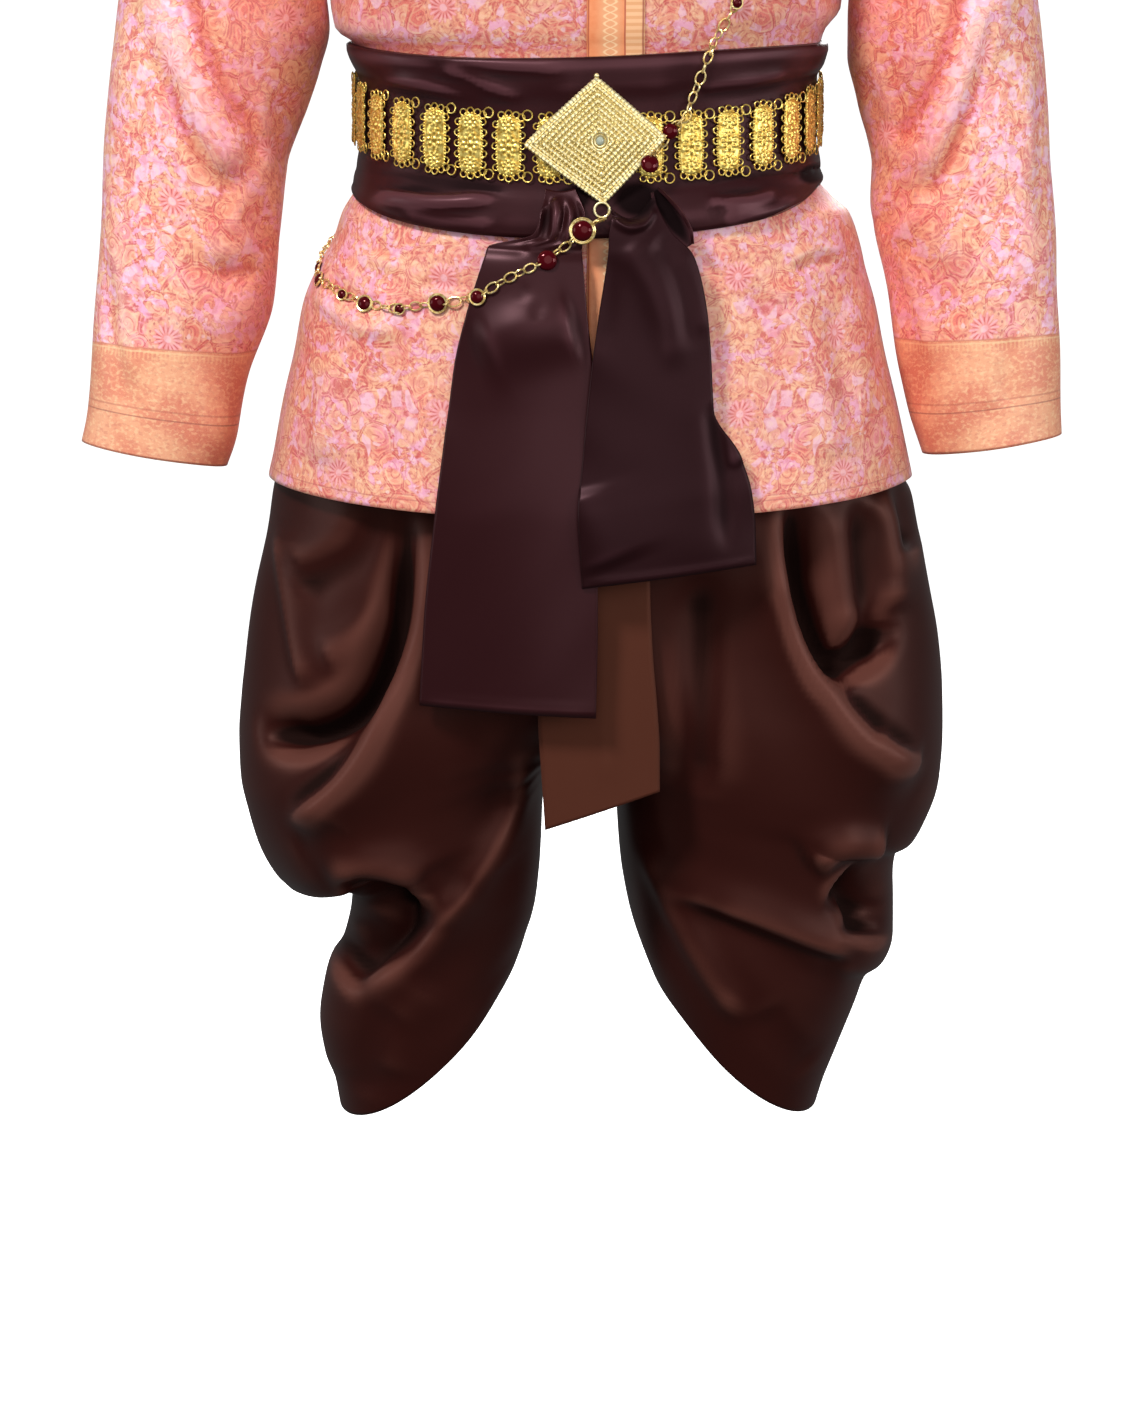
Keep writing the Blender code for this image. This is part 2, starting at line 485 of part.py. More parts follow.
def normals_of(surface, u, v, inside):
    """The outward normals of a surface, which point away from inside on the whole."""
    across = surface(u + SLOPE_STEP, v) - surface(u - SLOPE_STEP, v)
    along = surface(u, v + SLOPE_STEP) - surface(u, v - SLOPE_STEP)
    normal = np.cross(across, along)
    normal /= np.linalg.norm(normal, axis=-1, keepdims=True) + 1e-15
    outward = np.sum(normal * (surface(u, v) - np.asarray(inside)))
    return normal if outward > 0 else -normal


def line_through(points, steps=10):
    keys = np.arange(len(points))
    return through(keys, points, np.linspace(0, len(points) - 1, (len(points) - 1) * steps + 1))


def fold_height(x, z, folds):
    """How far a table of folds lifts a wall at x and z; each fades at its ends and on its two sides."""
    total = np.zeros(np.shape(x))
    spot = np.stack([x, z], axis=-1)
    for height, left_spread, right_spread, points in folds:
        line = line_through(points)
        nearest = np.full(total.shape, 1e9)
        place = np.zeros(total.shape)
        side = np.zeros(total.shape)
        for k, (start, end) in enumerate(zip(line[:-1], line[1:])):
            run = end - start
            t = np.clip(((spot - start) @ run) / (run @ run), 0, 1)
            away = spot - start - t[..., None] * run
            distance = np.hypot(away[..., 0], away[..., 1])
            closer = distance < nearest
            nearest = np.where(closer, distance, nearest)
            place = np.where(closer, (k + t) / (len(line) - 1), place)
            side = np.where(closer, run[0] * away[..., 1] - run[1] * away[..., 0], side)
        spread = np.where(side > 0, right_spread, left_spread)
        ends = smoothstep(0, 0.18, place) * smoothstep(0, 0.18, 1 - place)
        total += height * ends * np.exp(-((nearest / spread) ** 2))
    return total


def no_relief(points, normals):
    return np.zeros(points.shape[:-1])


def facing(normals):
    """Near 1 where a wall faces the front or back and less at the sides, so that folds keep the outline."""
    return 0.25 + 0.75 * smoothstep(0.0, 0.55, np.abs(normals[..., 1]))


# ---------------------------------------------------------------- meshes

def finish_material(name):
    material = bpy.data.materials.get(name)
    if material is None:
        colour, roughness, metallic = FINISHES[name]
        material = bpy.data.materials.new(name)
        material.use_nodes = True
        shader = material.node_tree.nodes["Principled BSDF"]
        shader.inputs["Base Color"].default_value = (*colour, 1.0)
        shader.inputs["Roughness"].default_value = roughness
        shader.inputs["Metallic"].default_value = metallic
    return material


def mesh_of(name, bm):
    """A mesh from a closed bmesh, with every face turned outwards."""
    bmesh.ops.recalc_face_normals(bm, faces=bm.faces[:])
    if bm.calc_volume(signed=True) < 0:
        bmesh.ops.reverse_faces(bm, faces=bm.faces[:])
    mesh = bpy.data.meshes.new(name)
    bm.to_mesh(mesh)
    bm.free()
    return mesh


def add_object(name, mesh, finish, collection):
    mesh.name = name
    mesh.materials.clear()
    mesh.materials.append(finish_material(finish))
    thing = bpy.data.objects.new(name, mesh)
    collection.objects.link(thing)
    return thing


def cloth_wall(name, surface, us, vs, thickness, finish, collection, inside, outset=0.0, relief=no_relief,
               trim=None):
    """A closed wall whose outer face lies outset from a surface, with its inner face its thickness within.

    us and vs are the places of the columns and the rows. trim moves the finished grid of points at the seams.
    """
    columns = len(us) - 1
    rows = len(vs) - 1
    u, v = np.meshgrid(us, vs, indexing="ij")
    base = surface(u, v)
    normals = normals_of(surface, u, v, inside)
    lift = np.asarray(outset) + relief(base, normals)
    outer = base + normals * (lift + 0 * u)[..., None]
    inner = outer - normals * (np.asarray(thickness) + 0 * u)[..., None]
    if trim:
        outer = trim(outer)
        inner = trim(inner)
    bm = bmesh.new()
    bmesh.ops.create_grid(bm, x_segments=columns, y_segments=rows, size=0.5)
    bmesh.ops.extrude_face_region(bm, geom=bm.faces[:], use_keep_orig=True)
    bm.verts.ensure_lookup_table()
    half = len(bm.verts) // 2
    for number, vertex in enumerate(bm.verts):
        i = round((vertex.co.x + 0.5) * columns)
        j = round((vertex.co.y + 0.5) * rows)
        vertex.co = outer[i, j] if number < half else inner[i, j]
    mesh = mesh_of(name, bm)
    return add_object(name, mesh, finish, collection)


def joined(name, pieces, finish, collection, cutters):
    """One closed mesh from overlapping pieces, by an exact union."""
    for piece in pieces[1:]:
        cutters.objects.link(piece)
    first = pieces[0]
    collection.objects.link(first)
    union = first.modifiers.new("Union", "BOOLEAN")
    union.operation = "UNION"
    union.solver = "EXACT"
    union.operand_type = "COLLECTION"
    union.collection = cutters
    graph = bpy.context.evaluated_depsgraph_get()
    mesh = bpy.data.meshes.new_from_object(first.evaluated_get(graph))
    for piece in pieces:
        bpy.data.objects.remove(piece)
    return add_object(name, mesh, finish, collection)


def loose(name, build, matrix):
    """A helper object, in no collection yet, from a bmesh operation and a placing matrix."""
    bm = bmesh.new()
    build(bm)
    bmesh.ops.transform(bm, matrix=matrix, verts=bm.verts[:])
    return bpy.data.objects.new(name, mesh_of(name, bm))


def block(name, size, centre):
    placing = Matrix.Translation(centre) @ Matrix.Diagonal((*size, 1.0))
    return loose(name, lambda bm: bmesh.ops.create_cube(bm, size=1.0), placing)


# ---------------------------------------------------------------- jacket

def hem_height(angle):
    return HEM_SIDE - HEM_DROP * np.cos(angle) ** 2


def jacket_height(angle, level):
    """Rows are level above the hem and follow the hem's dip below it."""
    share = smoothstep(HEM_FADE, HEM_SIDE, level)
    return level + share * (hem_height(angle) - HEM_SIDE)


def armhole_edge(level, side_gap):
    """The angle from the front where a panel ends: side seam, the armhole's curve, then shoulder seam."""
    middle = (ARMPIT_HEIGHT + SHOULDER_HEIGHT) / 2
    reach = (SHOULDER_HEIGHT - ARMPIT_HEIGHT) / 2
    across = np.clip(1 - ((level - middle) / reach) ** 2, 0, 1)
    return math.pi / 2 - side_gap - ARMHOLE_ANGLE * np.sqrt(across)


def jacket_levels():
    middle = (ARMPIT_HEIGHT + SHOULDER_HEIGHT) / 2
    reach = (SHOULDER_HEIGHT - ARMPIT_HEIGHT) / 2
    armhole = [middle - reach * math.cos(k * math.pi / ARMHOLE_STEPS) for k in range(ARMHOLE_STEPS + 1)]
    return np.array([HEM_SIDE, *SKIRT_ROWS, *WAIST_ROWS, *armhole, YOKE_ROW, NECK_HEIGHT])


def jacket_relief(points, normals):
    x, z = points[..., 0], points[..., 2]
    outside_sash = 1 - smoothstep(-0.105, -0.085, z) * (1 - smoothstep(0.075, 0.09, z))
    return fold_height(x, z, JACKET_FOLDS) * facing(normals) * outside_sash * smoothstep(0.24, 0.20, z)


def front_panel(side):
    """The front panel on one side: u runs from the centre front to the side seam, v is the level."""
    def surface(u, v):
        half_seam = SEAM / 2 / 0.14
        side_gap = SEAM / 2 / 0.2
        edge = armhole_edge(v, side_gap)
        angle = half_seam + (edge - half_seam) * u
        return torso(side * angle, jacket_height(angle, v))
    return surface


def back_panel(u, v):
    side_gap = SEAM / 2 / 0.2
    edge = armhole_edge(v, side_gap)
    start = math.pi - edge
    angle = start + (2 * math.pi - 2 * start) * u
    return torso(angle, jacket_height(angle, v))


def placket_surface(u, v):
    left, right = np.moveaxis(through([r[0] for r in TORSO], [r[1:3] for r in TORSO], v), -1, 0)
    x = PLACKET_LEFT + (PLACKET_RIGHT - PLACKET_LEFT) * u
    narrow = np.clip(right / (PLACKET_RIGHT * 2.4), 0, 1)
    angle = x * narrow / (right * (1 + SQUARENESS))
    return torso(angle, jacket_height(angle, v))


def build_jacket(collection):
    levels = jacket_levels()
    for name, side in (("jacket_front_left", -1), ("jacket_front_right", 1)):
        cloth_wall(name, front_panel(side), np.linspace(0, 1, 7), levels, BROCADE, "brocade", collection,
                   (0, 0, 0), relief=jacket_relief)
    cloth_wall("jacket_back", back_panel, np.linspace(0, 1, 13), levels, BROCADE, "brocade", collection,
               (0, 0, 0), relief=jacket_relief)
    cloth_wall("jacket_placket", placket_surface, np.linspace(0, 1, 3), levels[:-1], PLACKET_CLOTH, "brocade",
               collection, (0, 0, 0), outset=SEAM + PLACKET_CLOTH, relief=jacket_relief)
    for name, side, table, folds in (("jacket_sleeve_left", -1, LEFT_SLEEVE, LEFT_SLEEVE_FOLDS),
                                     ("jacket_sleeve_right", 1, RIGHT_SLEEVE, RIGHT_SLEEVE_FOLDS)):
        build_sleeve(name, side, table, folds, collection)
    build_collar(collection)


def sleeve_surface(side, table):
    """v 0 is the armhole and 1 the cuff; u runs from the underarm seam by the front and top to the back."""
    middle = (ARMPIT_HEIGHT + SHOULDER_HEIGHT) / 2
    reach = (SHOULDER_HEIGHT - ARMPIT_HEIGHT) / 2 - SEAM
    opening = ARMHOLE_ANGLE - SEAM / 0.2

    def surface(u, v):
        turn = 2 * math.pi * u
        hole = torso(side * (math.pi / 2 - opening * np.sin(turn)), middle - reach * np.cos(turn))
        along = np.clip(v, 0, 1)
        out_x, out_z, in_x, in_z, front, back, shift = rows_along(table, np.clip((along - 0.05) / 0.95, 0, 1))
        depth = np.where(np.sin(turn) > 0, front, back)
        inward = 0.5 + 0.5 * np.cos(turn)
        x = out_x + (in_x - out_x) * inward
        z = out_z + (in_z - out_z) * inward
        y = shift - depth * np.sin(turn)
        ring = np.stack([side * x, y, z], axis=-1)
        near = (1 - smoothstep(0.0, 0.06, v))[..., None]
        slope = (v - along)[..., None] * np.array([side * 0.1, 0.0, -0.6])
        return hole * near + ring * (1 - near) + slope
    return surface


def build_sleeve(name, side, table, folds, collection):
    def trim(points):
        points[0, :, 1] -= SEAM / 2
        points[-1, :, 1] += SEAM / 2
        return points

    def relief(points, normals):
        x, z = points[..., 0], points[..., 2]
        return fold_height(x, z, folds) * facing(normals)
    rows = np.concatenate([[0.0, 0.03], np.linspace(0.06, 1, 14)])
    cloth_wall(name, sleeve_surface(side, table), np.linspace(0, 1, 2 * ARMHOLE_STEPS + 1), rows, BROCADE,
               "brocade", collection, (side * 0.3, 0, 0.05), relief=relief, trim=trim)


def build_collar(collection):
    def surface(u, v):
        angle = COLLAR_OPENING + (2 * math.pi - 2 * COLLAR_OPENING) * u
        foot = torso(angle, NECK_HEIGHT + 0 * v)
        lean = 1 - 0.10 * v
        rise = (SEAM + COLLAR_HEIGHT * v)[..., None] * np.array([0.0, 0.0, 1.0])
        return foot * np.stack([lean, lean, 1 + 0 * v], axis=-1) + rise
    cloth_wall("jacket_collar", surface, np.linspace(0, 1, 21), np.linspace(0, 1, 3), STAND_COLLAR, "brocade",
               collection, (0, 0, 0.45))


# ---------------------------------------------------------------- sash

def sash_surface(u, v):
    """u runs round from the centre back and v from the top edge to the bottom edge."""
    angle = -math.pi + 2 * math.pi * u
    top = SASH_TOP - SASH_TOP_DIP * np.clip(np.cos(angle + 0.35), 0, 1) ** 3
    drop = SASH_BOTTOM_DROP * np.clip(np.cos(angle), 0, 1) ** 1.5
    bottom = SASH_BOTTOM_SIDE + SASH_BOTTOM_TILT * np.sin(angle) - drop
    return torso(angle, top + (bottom - top) * v)


def sash_lift(angle):
    """How far the sash's outer face lies off the jacket, with the placket under it in front."""
    over_placket = smoothstep(-0.22, -0.06, angle) * (1 - smoothstep(0.24, 0.40, angle))
    return LAYER_GAP + SASH_WRAP + OVER_PLACKET * over_placket


def build_sash(collection):
    us = np.linspace(0.0004, 0.9996, 37)
    u, v = np.meshgrid(us, SASH_ROWS, indexing="ij")
    left, right = np.moveaxis(through([r[0] for r in SASH_SWELL], [r[1:] for r in SASH_SWELL], v), -1, 0)
    swell = left + (right - left) * (0.5 + 0.5 * np.sin(-math.pi + 2 * math.pi * u))
    off_belt = 1 - smoothstep(0.16, 0.28, v) * (1 - smoothstep(0.66, 0.78, v))
    points = sash_surface(u, v)
    normals = normals_of(sash_surface, u, v, (0, 0, 0))
    creases = fold_height(points[..., 0], points[..., 2], SASH_FOLDS) * facing(normals) * off_belt
    swell = swell + np.maximum(creases, -1 * MM)
    cloth_wall("sash_wrap", sash_surface, us, SASH_ROWS, SASH_WRAP + swell, "sash_satin", collection,
               (0, 0, 0), outset=sash_lift(-math.pi + 2 * math.pi * u) + swell)
    build_end("sash_end_left", LEFT_END, 3, 0.0, 0.002, collection)
    build_end("sash_end_right", RIGHT_END, 1.0, math.pi, 0.011, collection)
    build_loop(collection)


def sheet_surface(table):
    """A hanging sheet from rows of its left and right edges: u runs from left to right and v down."""
    def surface(u, v):
        left_x, left_z, right_x, right_z, depth = rows_along(table, v)
        x = left_x + (right_x - left_x) * u
        z = left_z + (right_z - left_z) * u
        bow = np.sign(-depth) * x**2 * SHEET_BOW
        return np.stack([x, depth + bow, z], axis=-1)
    return surface


def end_surface(table, pleats, phase, sag):
    """A sash end: its top edge sags, and pleats spread from the knot over a slight bow across its width."""
    def surface(u, v):
        points = sheet_surface(table)(u, v)
        fade = 1 - smoothstep(0.0, END_PLEAT_LENGTH, v)
        waves = np.cos(2 * math.pi * pleats * u + phase)
        across = np.sin(math.pi * np.clip(u, 0, 1))
        points[..., 1] -= END_PLEAT_HEIGHT * fade * waves * smoothstep(0.02, 0.14, v)
        points[..., 1] -= END_BOW * across * smoothstep(0, 0.3, v)
        points[..., 2] -= sag * across * (1 - smoothstep(0, END_SAG_LENGTH, v))
        return points
    return surface


def build_end(name, table, pleats, phase, sag, collection):
    rows = np.linspace(0, 1, len(table))
    cloth_wall(name, end_surface(table, pleats, phase, sag), np.linspace(0, 1, 10), rows, SASH_END,
               "sash_satin", collection, (0, 1, -0.2))


def build_loop(collection):
    """The knot's loop: a wall bent round an axis that runs down beside the right end."""
    first = np.array(KNOT_LOOP[0])
    last = np.array(KNOT_LOOP[-1])
    run = (last - first)[:2] / np.linalg.norm((last - first)[:2])

    def surface(u, v):
        x, z, y, wide, deep = rows_along(KNOT_LOOP, v)
        angle = (LOOP_START + (LOOP_END - LOOP_START) * u) * DEG
        across = wide * np.cos(angle)
        return np.stack([x - run[1] * across, y - deep * np.sin(angle), z + run[0] * across], axis=-1)
    cloth_wall("sash_knot_loop", surface, np.linspace(0, 1, 7), np.linspace(0, 1, 5), SASH_END, "sash_satin",
               collection, (KNOT_LOOP[1][0], KNOT_LOOP[1][2], KNOT_LOOP[1][1]))


# ---------------------------------------------------------------- trousers

def leg_surface(side, table):
    """u runs from the front seam by the outer side to the back seam and v from the waist to the hem."""
    def surface(u, v):
        in_x, in_z, out_x, out_z, front, back, start, droop = rows_along(table, v)
        start = np.clip(start, 0, 90) * DEG
        turn = start + (2 * math.pi - 2 * start) * u
        half = (out_x - in_x) / (1 + np.cos(start))
        x = out_x - half * (1 + np.cos(turn))
        depth = np.where(np.sin(turn) > 0, front, back)
        y = -depth * np.sin(turn) * (1 + SQUARENESS * np.cos(turn) ** 2)
        share = np.clip((x - in_x) / (out_x - in_x), 0, 1)
        dip = droop * np.where(np.sin(turn) > 0, 1.0, 0.35) * np.abs(np.sin(turn)) ** 1.5
        z = in_z + (out_z - in_z) * share - dip
        return np.stack([side * x, y, z], axis=-1)
    return surface


def build_leg(name, side, table, folds, collection):
    def trim(points):
        points[0, :, 1] -= SEAM / 2
        points[-1, :, 1] += SEAM / 2
        points[..., 0] = side * np.maximum(side * points[..., 0], SEAM / 2)
        return points

    def relief(points, normals):
        x, z = points[..., 0], points[..., 2]
        below_jacket = smoothstep(FOLDS_FROM, FOLDS_FULL, z)
        behind = np.where(points[..., 1] > 0, 0.8, 1.0)
        seam_side = smoothstep(0.004, 0.035, np.abs(x))
        return fold_height(x, z, folds) * facing(normals) * below_jacket * behind * seam_side
    us = np.concatenate([np.linspace(0, 0.52, 16), np.linspace(0.52, 1, 10)[1:]])
    cloth_wall(name, leg_surface(side, table), us, np.linspace(0, 1, 25), TROUSER_SATIN, "trouser_satin",
               collection, (side * 0.13, 0, -0.4), relief=relief, trim=trim)


def build_trousers(collection):
    build_leg("trouser_leg_left", -1, LEFT_LEG, LEFT_LEG_FOLDS, collection)
    build_leg("trouser_leg_right", 1, RIGHT_LEG, RIGHT_LEG_FOLDS, collection)

    def band(u, v):
        return torso(-math.pi + 2 * math.pi * u, BAND_BOTTOM + BAND_HEIGHT * v)
    cloth_wall("trouser_waistband", band, np.linspace(0.0005, 0.9995, 33), np.linspace(0, 1, 2), WAISTBAND,
               "trouser_satin", collection, (0, 0, 0), outset=-(BROCADE + WAISTBAND_GAP))
    cloth_wall("trouser_front_flap", sheet_surface(FRONT_FLAP), np.linspace(0, 1, 5), np.linspace(0, 1, 11),
               FRONT_FLAP_CLOTH, "flap_satin", collection, (0, 1, -0.2))

    def roll(u, v):
        points = sheet_surface(BACK_ROLL)(u, v)
        points[..., 1] += ROLL_WAVE * np.cos(6 * math.pi * u)
        return points
    cloth_wall("trouser_back_roll", roll, np.linspace(0, 1, 9), np.linspace(0, 1, 8), BACK_ROLL_CLOTH,
               "trouser_satin", collection, (0, -1, -0.2))


# ---------------------------------------------------------------- belt, buckle and chain

def cloth_tree(collection):
    """The solids so far as one tree, to rest the chain on; the sleeves hang clear of it."""
    vertices = []
    polygons = []
    for thing in collection.objects:
        if thing.name.startswith("jacket_sleeve"):
            continue
        start = len(vertices)
        placing = thing.matrix_basis
        vertices += [placing @ vertex.co for vertex in thing.data.vertices]
        polygons += [[start + index for index in face.vertices] for face in thing.data.polygons]
    return BVHTree.FromPolygons(vertices, polygons)


def belt_path(count=1440):
    """Points and angles round the sash's outer face at the belt's height."""
    angles = np.linspace(-math.pi, math.pi, count)
    heights = BELT_SIDE_HEIGHT - BELT_DIP * np.clip(np.cos(angles), 0, 1) ** 1.2
    return angles, torso(angles, heights)


def plate_mesh(collection, cutters, lug_reach):
    base = block("base", (PLATE_WIDTH, PLATE_BASE, PLATE_HEIGHT), (0, 0, 0))
    core_y = -(PLATE_BASE + CORE_RISE) / 2 + 0.1 * MM
    core = block("core", (CORE_WIDTH, CORE_RISE, CORE_HEIGHT), (0, core_y, 0))
    pieces = [base, core]
    for end in (-1, 1):
        centre = ((PLATE_WIDTH + lug_reach) / 2 - 0.2 * MM, 0, end * (PLATE_HEIGHT - LUG_HEIGHT) / 2 * 0.92)
        pieces.append(block("lug", (lug_reach, PLATE_BASE * 0.7, LUG_HEIGHT), centre))
    return joined("belt_plate", pieces, "gold", collection, cutters)


def plate_seat(tree, spot, along, away):
    """How far out a plate's back lies when it rests on the sash."""
    highest = 0
    for across in (-1, -0.5, 0, 0.5, 1):
        for up in (-0.5, -0.25, 0, 0.25, 0.5):
            start = spot + along * across + Vector((0, 0, up * PLATE_HEIGHT)) + away * LOOK_FROM
            hit, _, _, distance = tree.ray_cast(start, -away)
            if hit:
                highest = max(highest, LOOK_FROM - distance)
    return highest + PLATE_CLEARANCE


def build_belt(collection, cutters):
    angles, path = belt_path()
    run = np.concatenate([[0], np.cumsum(np.linalg.norm(np.diff(path[:, :2], axis=0), axis=1))])
    middle = np.interp(BUCKLE_CENTRE[0], path[:, 0][np.abs(angles) < 1], run[np.abs(angles) < 1])
    half_way = run[-1] / 2
    pitch = (half_way - FIRST_PLATE) / (PLATES_A_SIDE - 0.5)
    places = [side * (FIRST_PLATE + k * pitch) for side in (-1, 1) for k in range(PLATES_A_SIDE)]
    places += [-HIDDEN_PLATE, HIDDEN_PLATE]
    tree = cloth_tree(collection)
    model = plate_mesh(collection, cutters, pitch - PLATE_WIDTH - 0.9 * MM)
    for number, place in enumerate(sorted(places)):
        angle = np.interp((middle + place) % run[-1], run, angles)
        height = BELT_SIDE_HEIGHT - BELT_DIP * max(math.cos(angle), 0) ** 1.2
        spot = torso(np.array(angle), np.array(height))
        ahead = torso(np.array(angle + 0.01), np.array(height)) - spot
        heading = math.atan2(ahead[1], ahead[0])
        plate = bpy.data.objects.new(f"belt_plate_{number:02d}", model.data)
        along = Vector((math.cos(heading), math.sin(heading), 0)) * pitch / 2
        away = Vector((math.sin(heading), -math.cos(heading), 0))
        plate.location = Vector(spot) + away * (plate_seat(tree, Vector(spot), along, away) + PLATE_BASE / 2)
        plate.rotation_euler = (0, 0, heading)
        collection.objects.link(plate)
    bpy.data.objects.remove(model)


def diamond(share):
    """Sixteen points of a diamond with slightly bowed sides."""
    points = []
    for k in range(16):
        angle = k * math.pi / 8
        reach = (abs(math.cos(angle)) ** BUCKLE_BOW + abs(math.sin(angle)) ** BUCKLE_BOW) ** (-1 / BUCKLE_BOW)
        points.append((share * BUCKLE_HALF_WIDTH * reach * math.cos(angle),
                       share * BUCKLE_HALF_HEIGHT * reach * math.sin(angle)))
    return points


def build_buckle(collection):
    """A stepped diamond plate with a jewel, and the ring that hangs at its foot."""
    bm = bmesh.new()
    bmesh.ops.create_circle(bm, cap_ends=True, segments=16, radius=1.0)
    bm.faces.ensure_lookup_table()
    top = bm.faces[0]
    order = [vertex for vertex in top.verts]
    for vertex in order:
        angle = math.atan2(vertex.co.y, vertex.co.x)
        x, z = diamond(1.0)[round(angle / (math.pi / 8)) % 16]
        vertex.co = (x, 0, z)
    for (wide, low), (share, high) in zip(BUCKLE_STEPS[:-1], BUCKLE_STEPS[1:]):
        made = bmesh.ops.extrude_face_region(bm, geom=[top], use_keep_orig=True)
        if low > 0:
            bm.faces.remove(top)
        top = next(item for item in made["geom"] if isinstance(item, bmesh.types.BMFace))
        for vertex in top.verts:
            vertex.co.x *= share / wide
            vertex.co.z *= share / wide
            vertex.co.y = -high * MM
    buckle = add_object("buckle", mesh_of("buckle", bm), "gold", collection)
    buckle.location = BUCKLE_CENTRE
    buckle.rotation_euler = (0, -BUCKLE_TURN, 0)


def build_ring(collection):
    """The ring that hangs at the buckle's foot."""
    bm = bmesh.new()
    bmesh.ops.create_circle(bm, segments=4, radius=RING_WIRE)
    bmesh.ops.translate(bm, verts=bm.verts[:], vec=(RING_RADIUS, 0, 0))
    bmesh.ops.spin(bm, geom=bm.verts[:] + bm.edges[:], axis=(0, 1, 0), cent=(0, 0, 0), steps=10,
                    angle=2 * math.pi, use_merge=True)
    ring = add_object("buckle_ring", mesh_of("buckle_ring", bm), "gold", collection)
    ring.location = RING_CENTRE


def resting_place(tree, way, first, second):
    """Where a ray meets the solids, with their outward normal there."""
    across, up, toward = (Vector(axis) for axis in RAYS[way])
    spot, normal, _, _ = tree.ray_cast(across * first + up * second - toward, toward)
    return spot, normal if normal.dot(toward) < 0 else -normal


def wire(name, places, radius):
    """A square wire along places, each a point and the direction away from the cloth there."""
    bm = bmesh.new()
    rings = []
    for k, (spot, away) in enumerate(places):
        before = places[max(k - 1, 0)][0]
        after = places[min(k + 1, len(places) - 1)][0]
        across = (after - before).cross(away).normalized()
        out = across.cross(after - before).normalized()
        corners = (across, out, -across, -out)
        rings.append([bm.verts.new(spot + corner * radius) for corner in corners])
    bm.faces.new(rings[0])
    bm.faces.new(rings[-1])
    for low, high in zip(rings[:-1], rings[1:]):
        for k in range(4):
            bm.faces.new((low[k], low[(k + 1) % 4], high[(k + 1) % 4], high[k]))
    return bpy.data.objects.new(name, mesh_of(name, bm))


def headroom(tree, spot, away, reach):
    """How far a point lies above the highest of the solids within reach of it."""
    side = away.orthogonal().normalized()
    other = away.cross(side)
    least = LOOK_FROM
    for k in range(9):
        spoke = side * math.cos(k * math.pi / 4) + other * math.sin(k * math.pi / 4)
        start = spot + spoke * (reach if k < 8 else 0) + away * LOOK_FROM
        hit, _, _, distance = tree.ray_cast(start, -away)
        if hit:
            least = min(least, distance - LOOK_FROM)
    return least


def stone_lift(tree, spot, away, radius):
    """How far off the cloth a flat stone's centre lies when it rests there."""
    thick = radius * STONE_FLATNESS
    middle = thick + SEAM - headroom(tree, spot, away, 0.4 * radius)
    rim = 0.35 * thick + SEAM - headroom(tree, spot, away, 0.95 * radius)
    return max(middle, rim) + SEAM


def seat_wire(tree, places, lifts):
    """Moves a wire's points away from the cloth until its straight runs clear it."""
    for _ in range(8):
        spots = [spot + away * lift for (spot, away), lift in zip(places, lifts)]
        for k in range(len(places) - 1):
            away = (places[k][1] + places[k + 1][1]).normalized()
            between = [spots[k].lerp(spots[k + 1], t / 8) for t in range(9)]
            least = min(headroom(tree, spot, away, CHAIN_WIRE) for spot in between)
            short = max(CHAIN_WIRE + SEAM - least, 0)
            lifts[k] += 0.6 * short
            lifts[k + 1] += 0.6 * short
    return [(spot + away * lift, away) for (spot, away), lift in zip(places, lifts)]


def stone(spot, away, radius):
    """A set stone, flat against the cloth."""
    turn = away.to_track_quat("Z", "Y").to_matrix().to_4x4()
    size = Matrix.Diagonal((radius, radius, radius * STONE_FLATNESS, 1.0))
    return loose("stone", lambda bm: bmesh.ops.create_icosphere(bm, subdivisions=1, radius=1.0),
                 Matrix.Translation(spot) @ turn @ size)


def build_chain(collection, cutters):
    tree = cloth_tree(collection)
    for name, table in (("chain_front_upper", CHAIN_UPPER), ("chain_front_lower", CHAIN_LOWER),
                        ("chain_back", CHAIN_BACK)):
        places = [resting_place(tree, *row[:3]) for row in table]
        radii = [row[3] * MM for row in table]
        lifts = [max(CHAIN_WIRE + CHAIN_REST, stone_lift(tree, *place, radius) if radius else 0)
                 for place, radius in zip(places, radii)]
        seated = seat_wire(tree, places, lifts)
        stones = [stone(*place, radius) for place, radius in zip(seated, radii) if radius]
        joined(name, [wire("wire", seated, CHAIN_WIRE)] + stones, "garnet_chain", collection, cutters)


def remove_start_objects():
    for thing in list(bpy.data.objects):
        bpy.data.objects.remove(thing)


def main():
    remove_start_objects()
    collection = bpy.data.collections.new("chut_thai_dress")
    bpy.context.scene.collection.children.link(collection)
    cutters = bpy.data.collections.new("cutters")
    bpy.context.scene.collection.children.link(cutters)
    cutters.hide_render = True
    build_jacket(collection)
    build_sash(collection)
    build_trousers(collection)
    build_belt(collection, cutters)
    build_buckle(collection)
    build_ring(collection)
    build_chain(collection, cutters)


main()
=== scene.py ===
"""The looks of the Thai court outfit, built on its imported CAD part.

Metres, +Z up, -Y is the front and +X the viewer's right; tables of shapes are in millimetres. Each cloth piece is a
fine wall on the same surface as its solid, with finer folds; the belt, the buckle and the chain are openwork in place
of their plain solids.
"""

import json
import math

import bmesh
import bpy
import numpy as np
from mathutils import Matrix, Vector
from mathutils.bvhtree import BVHTree

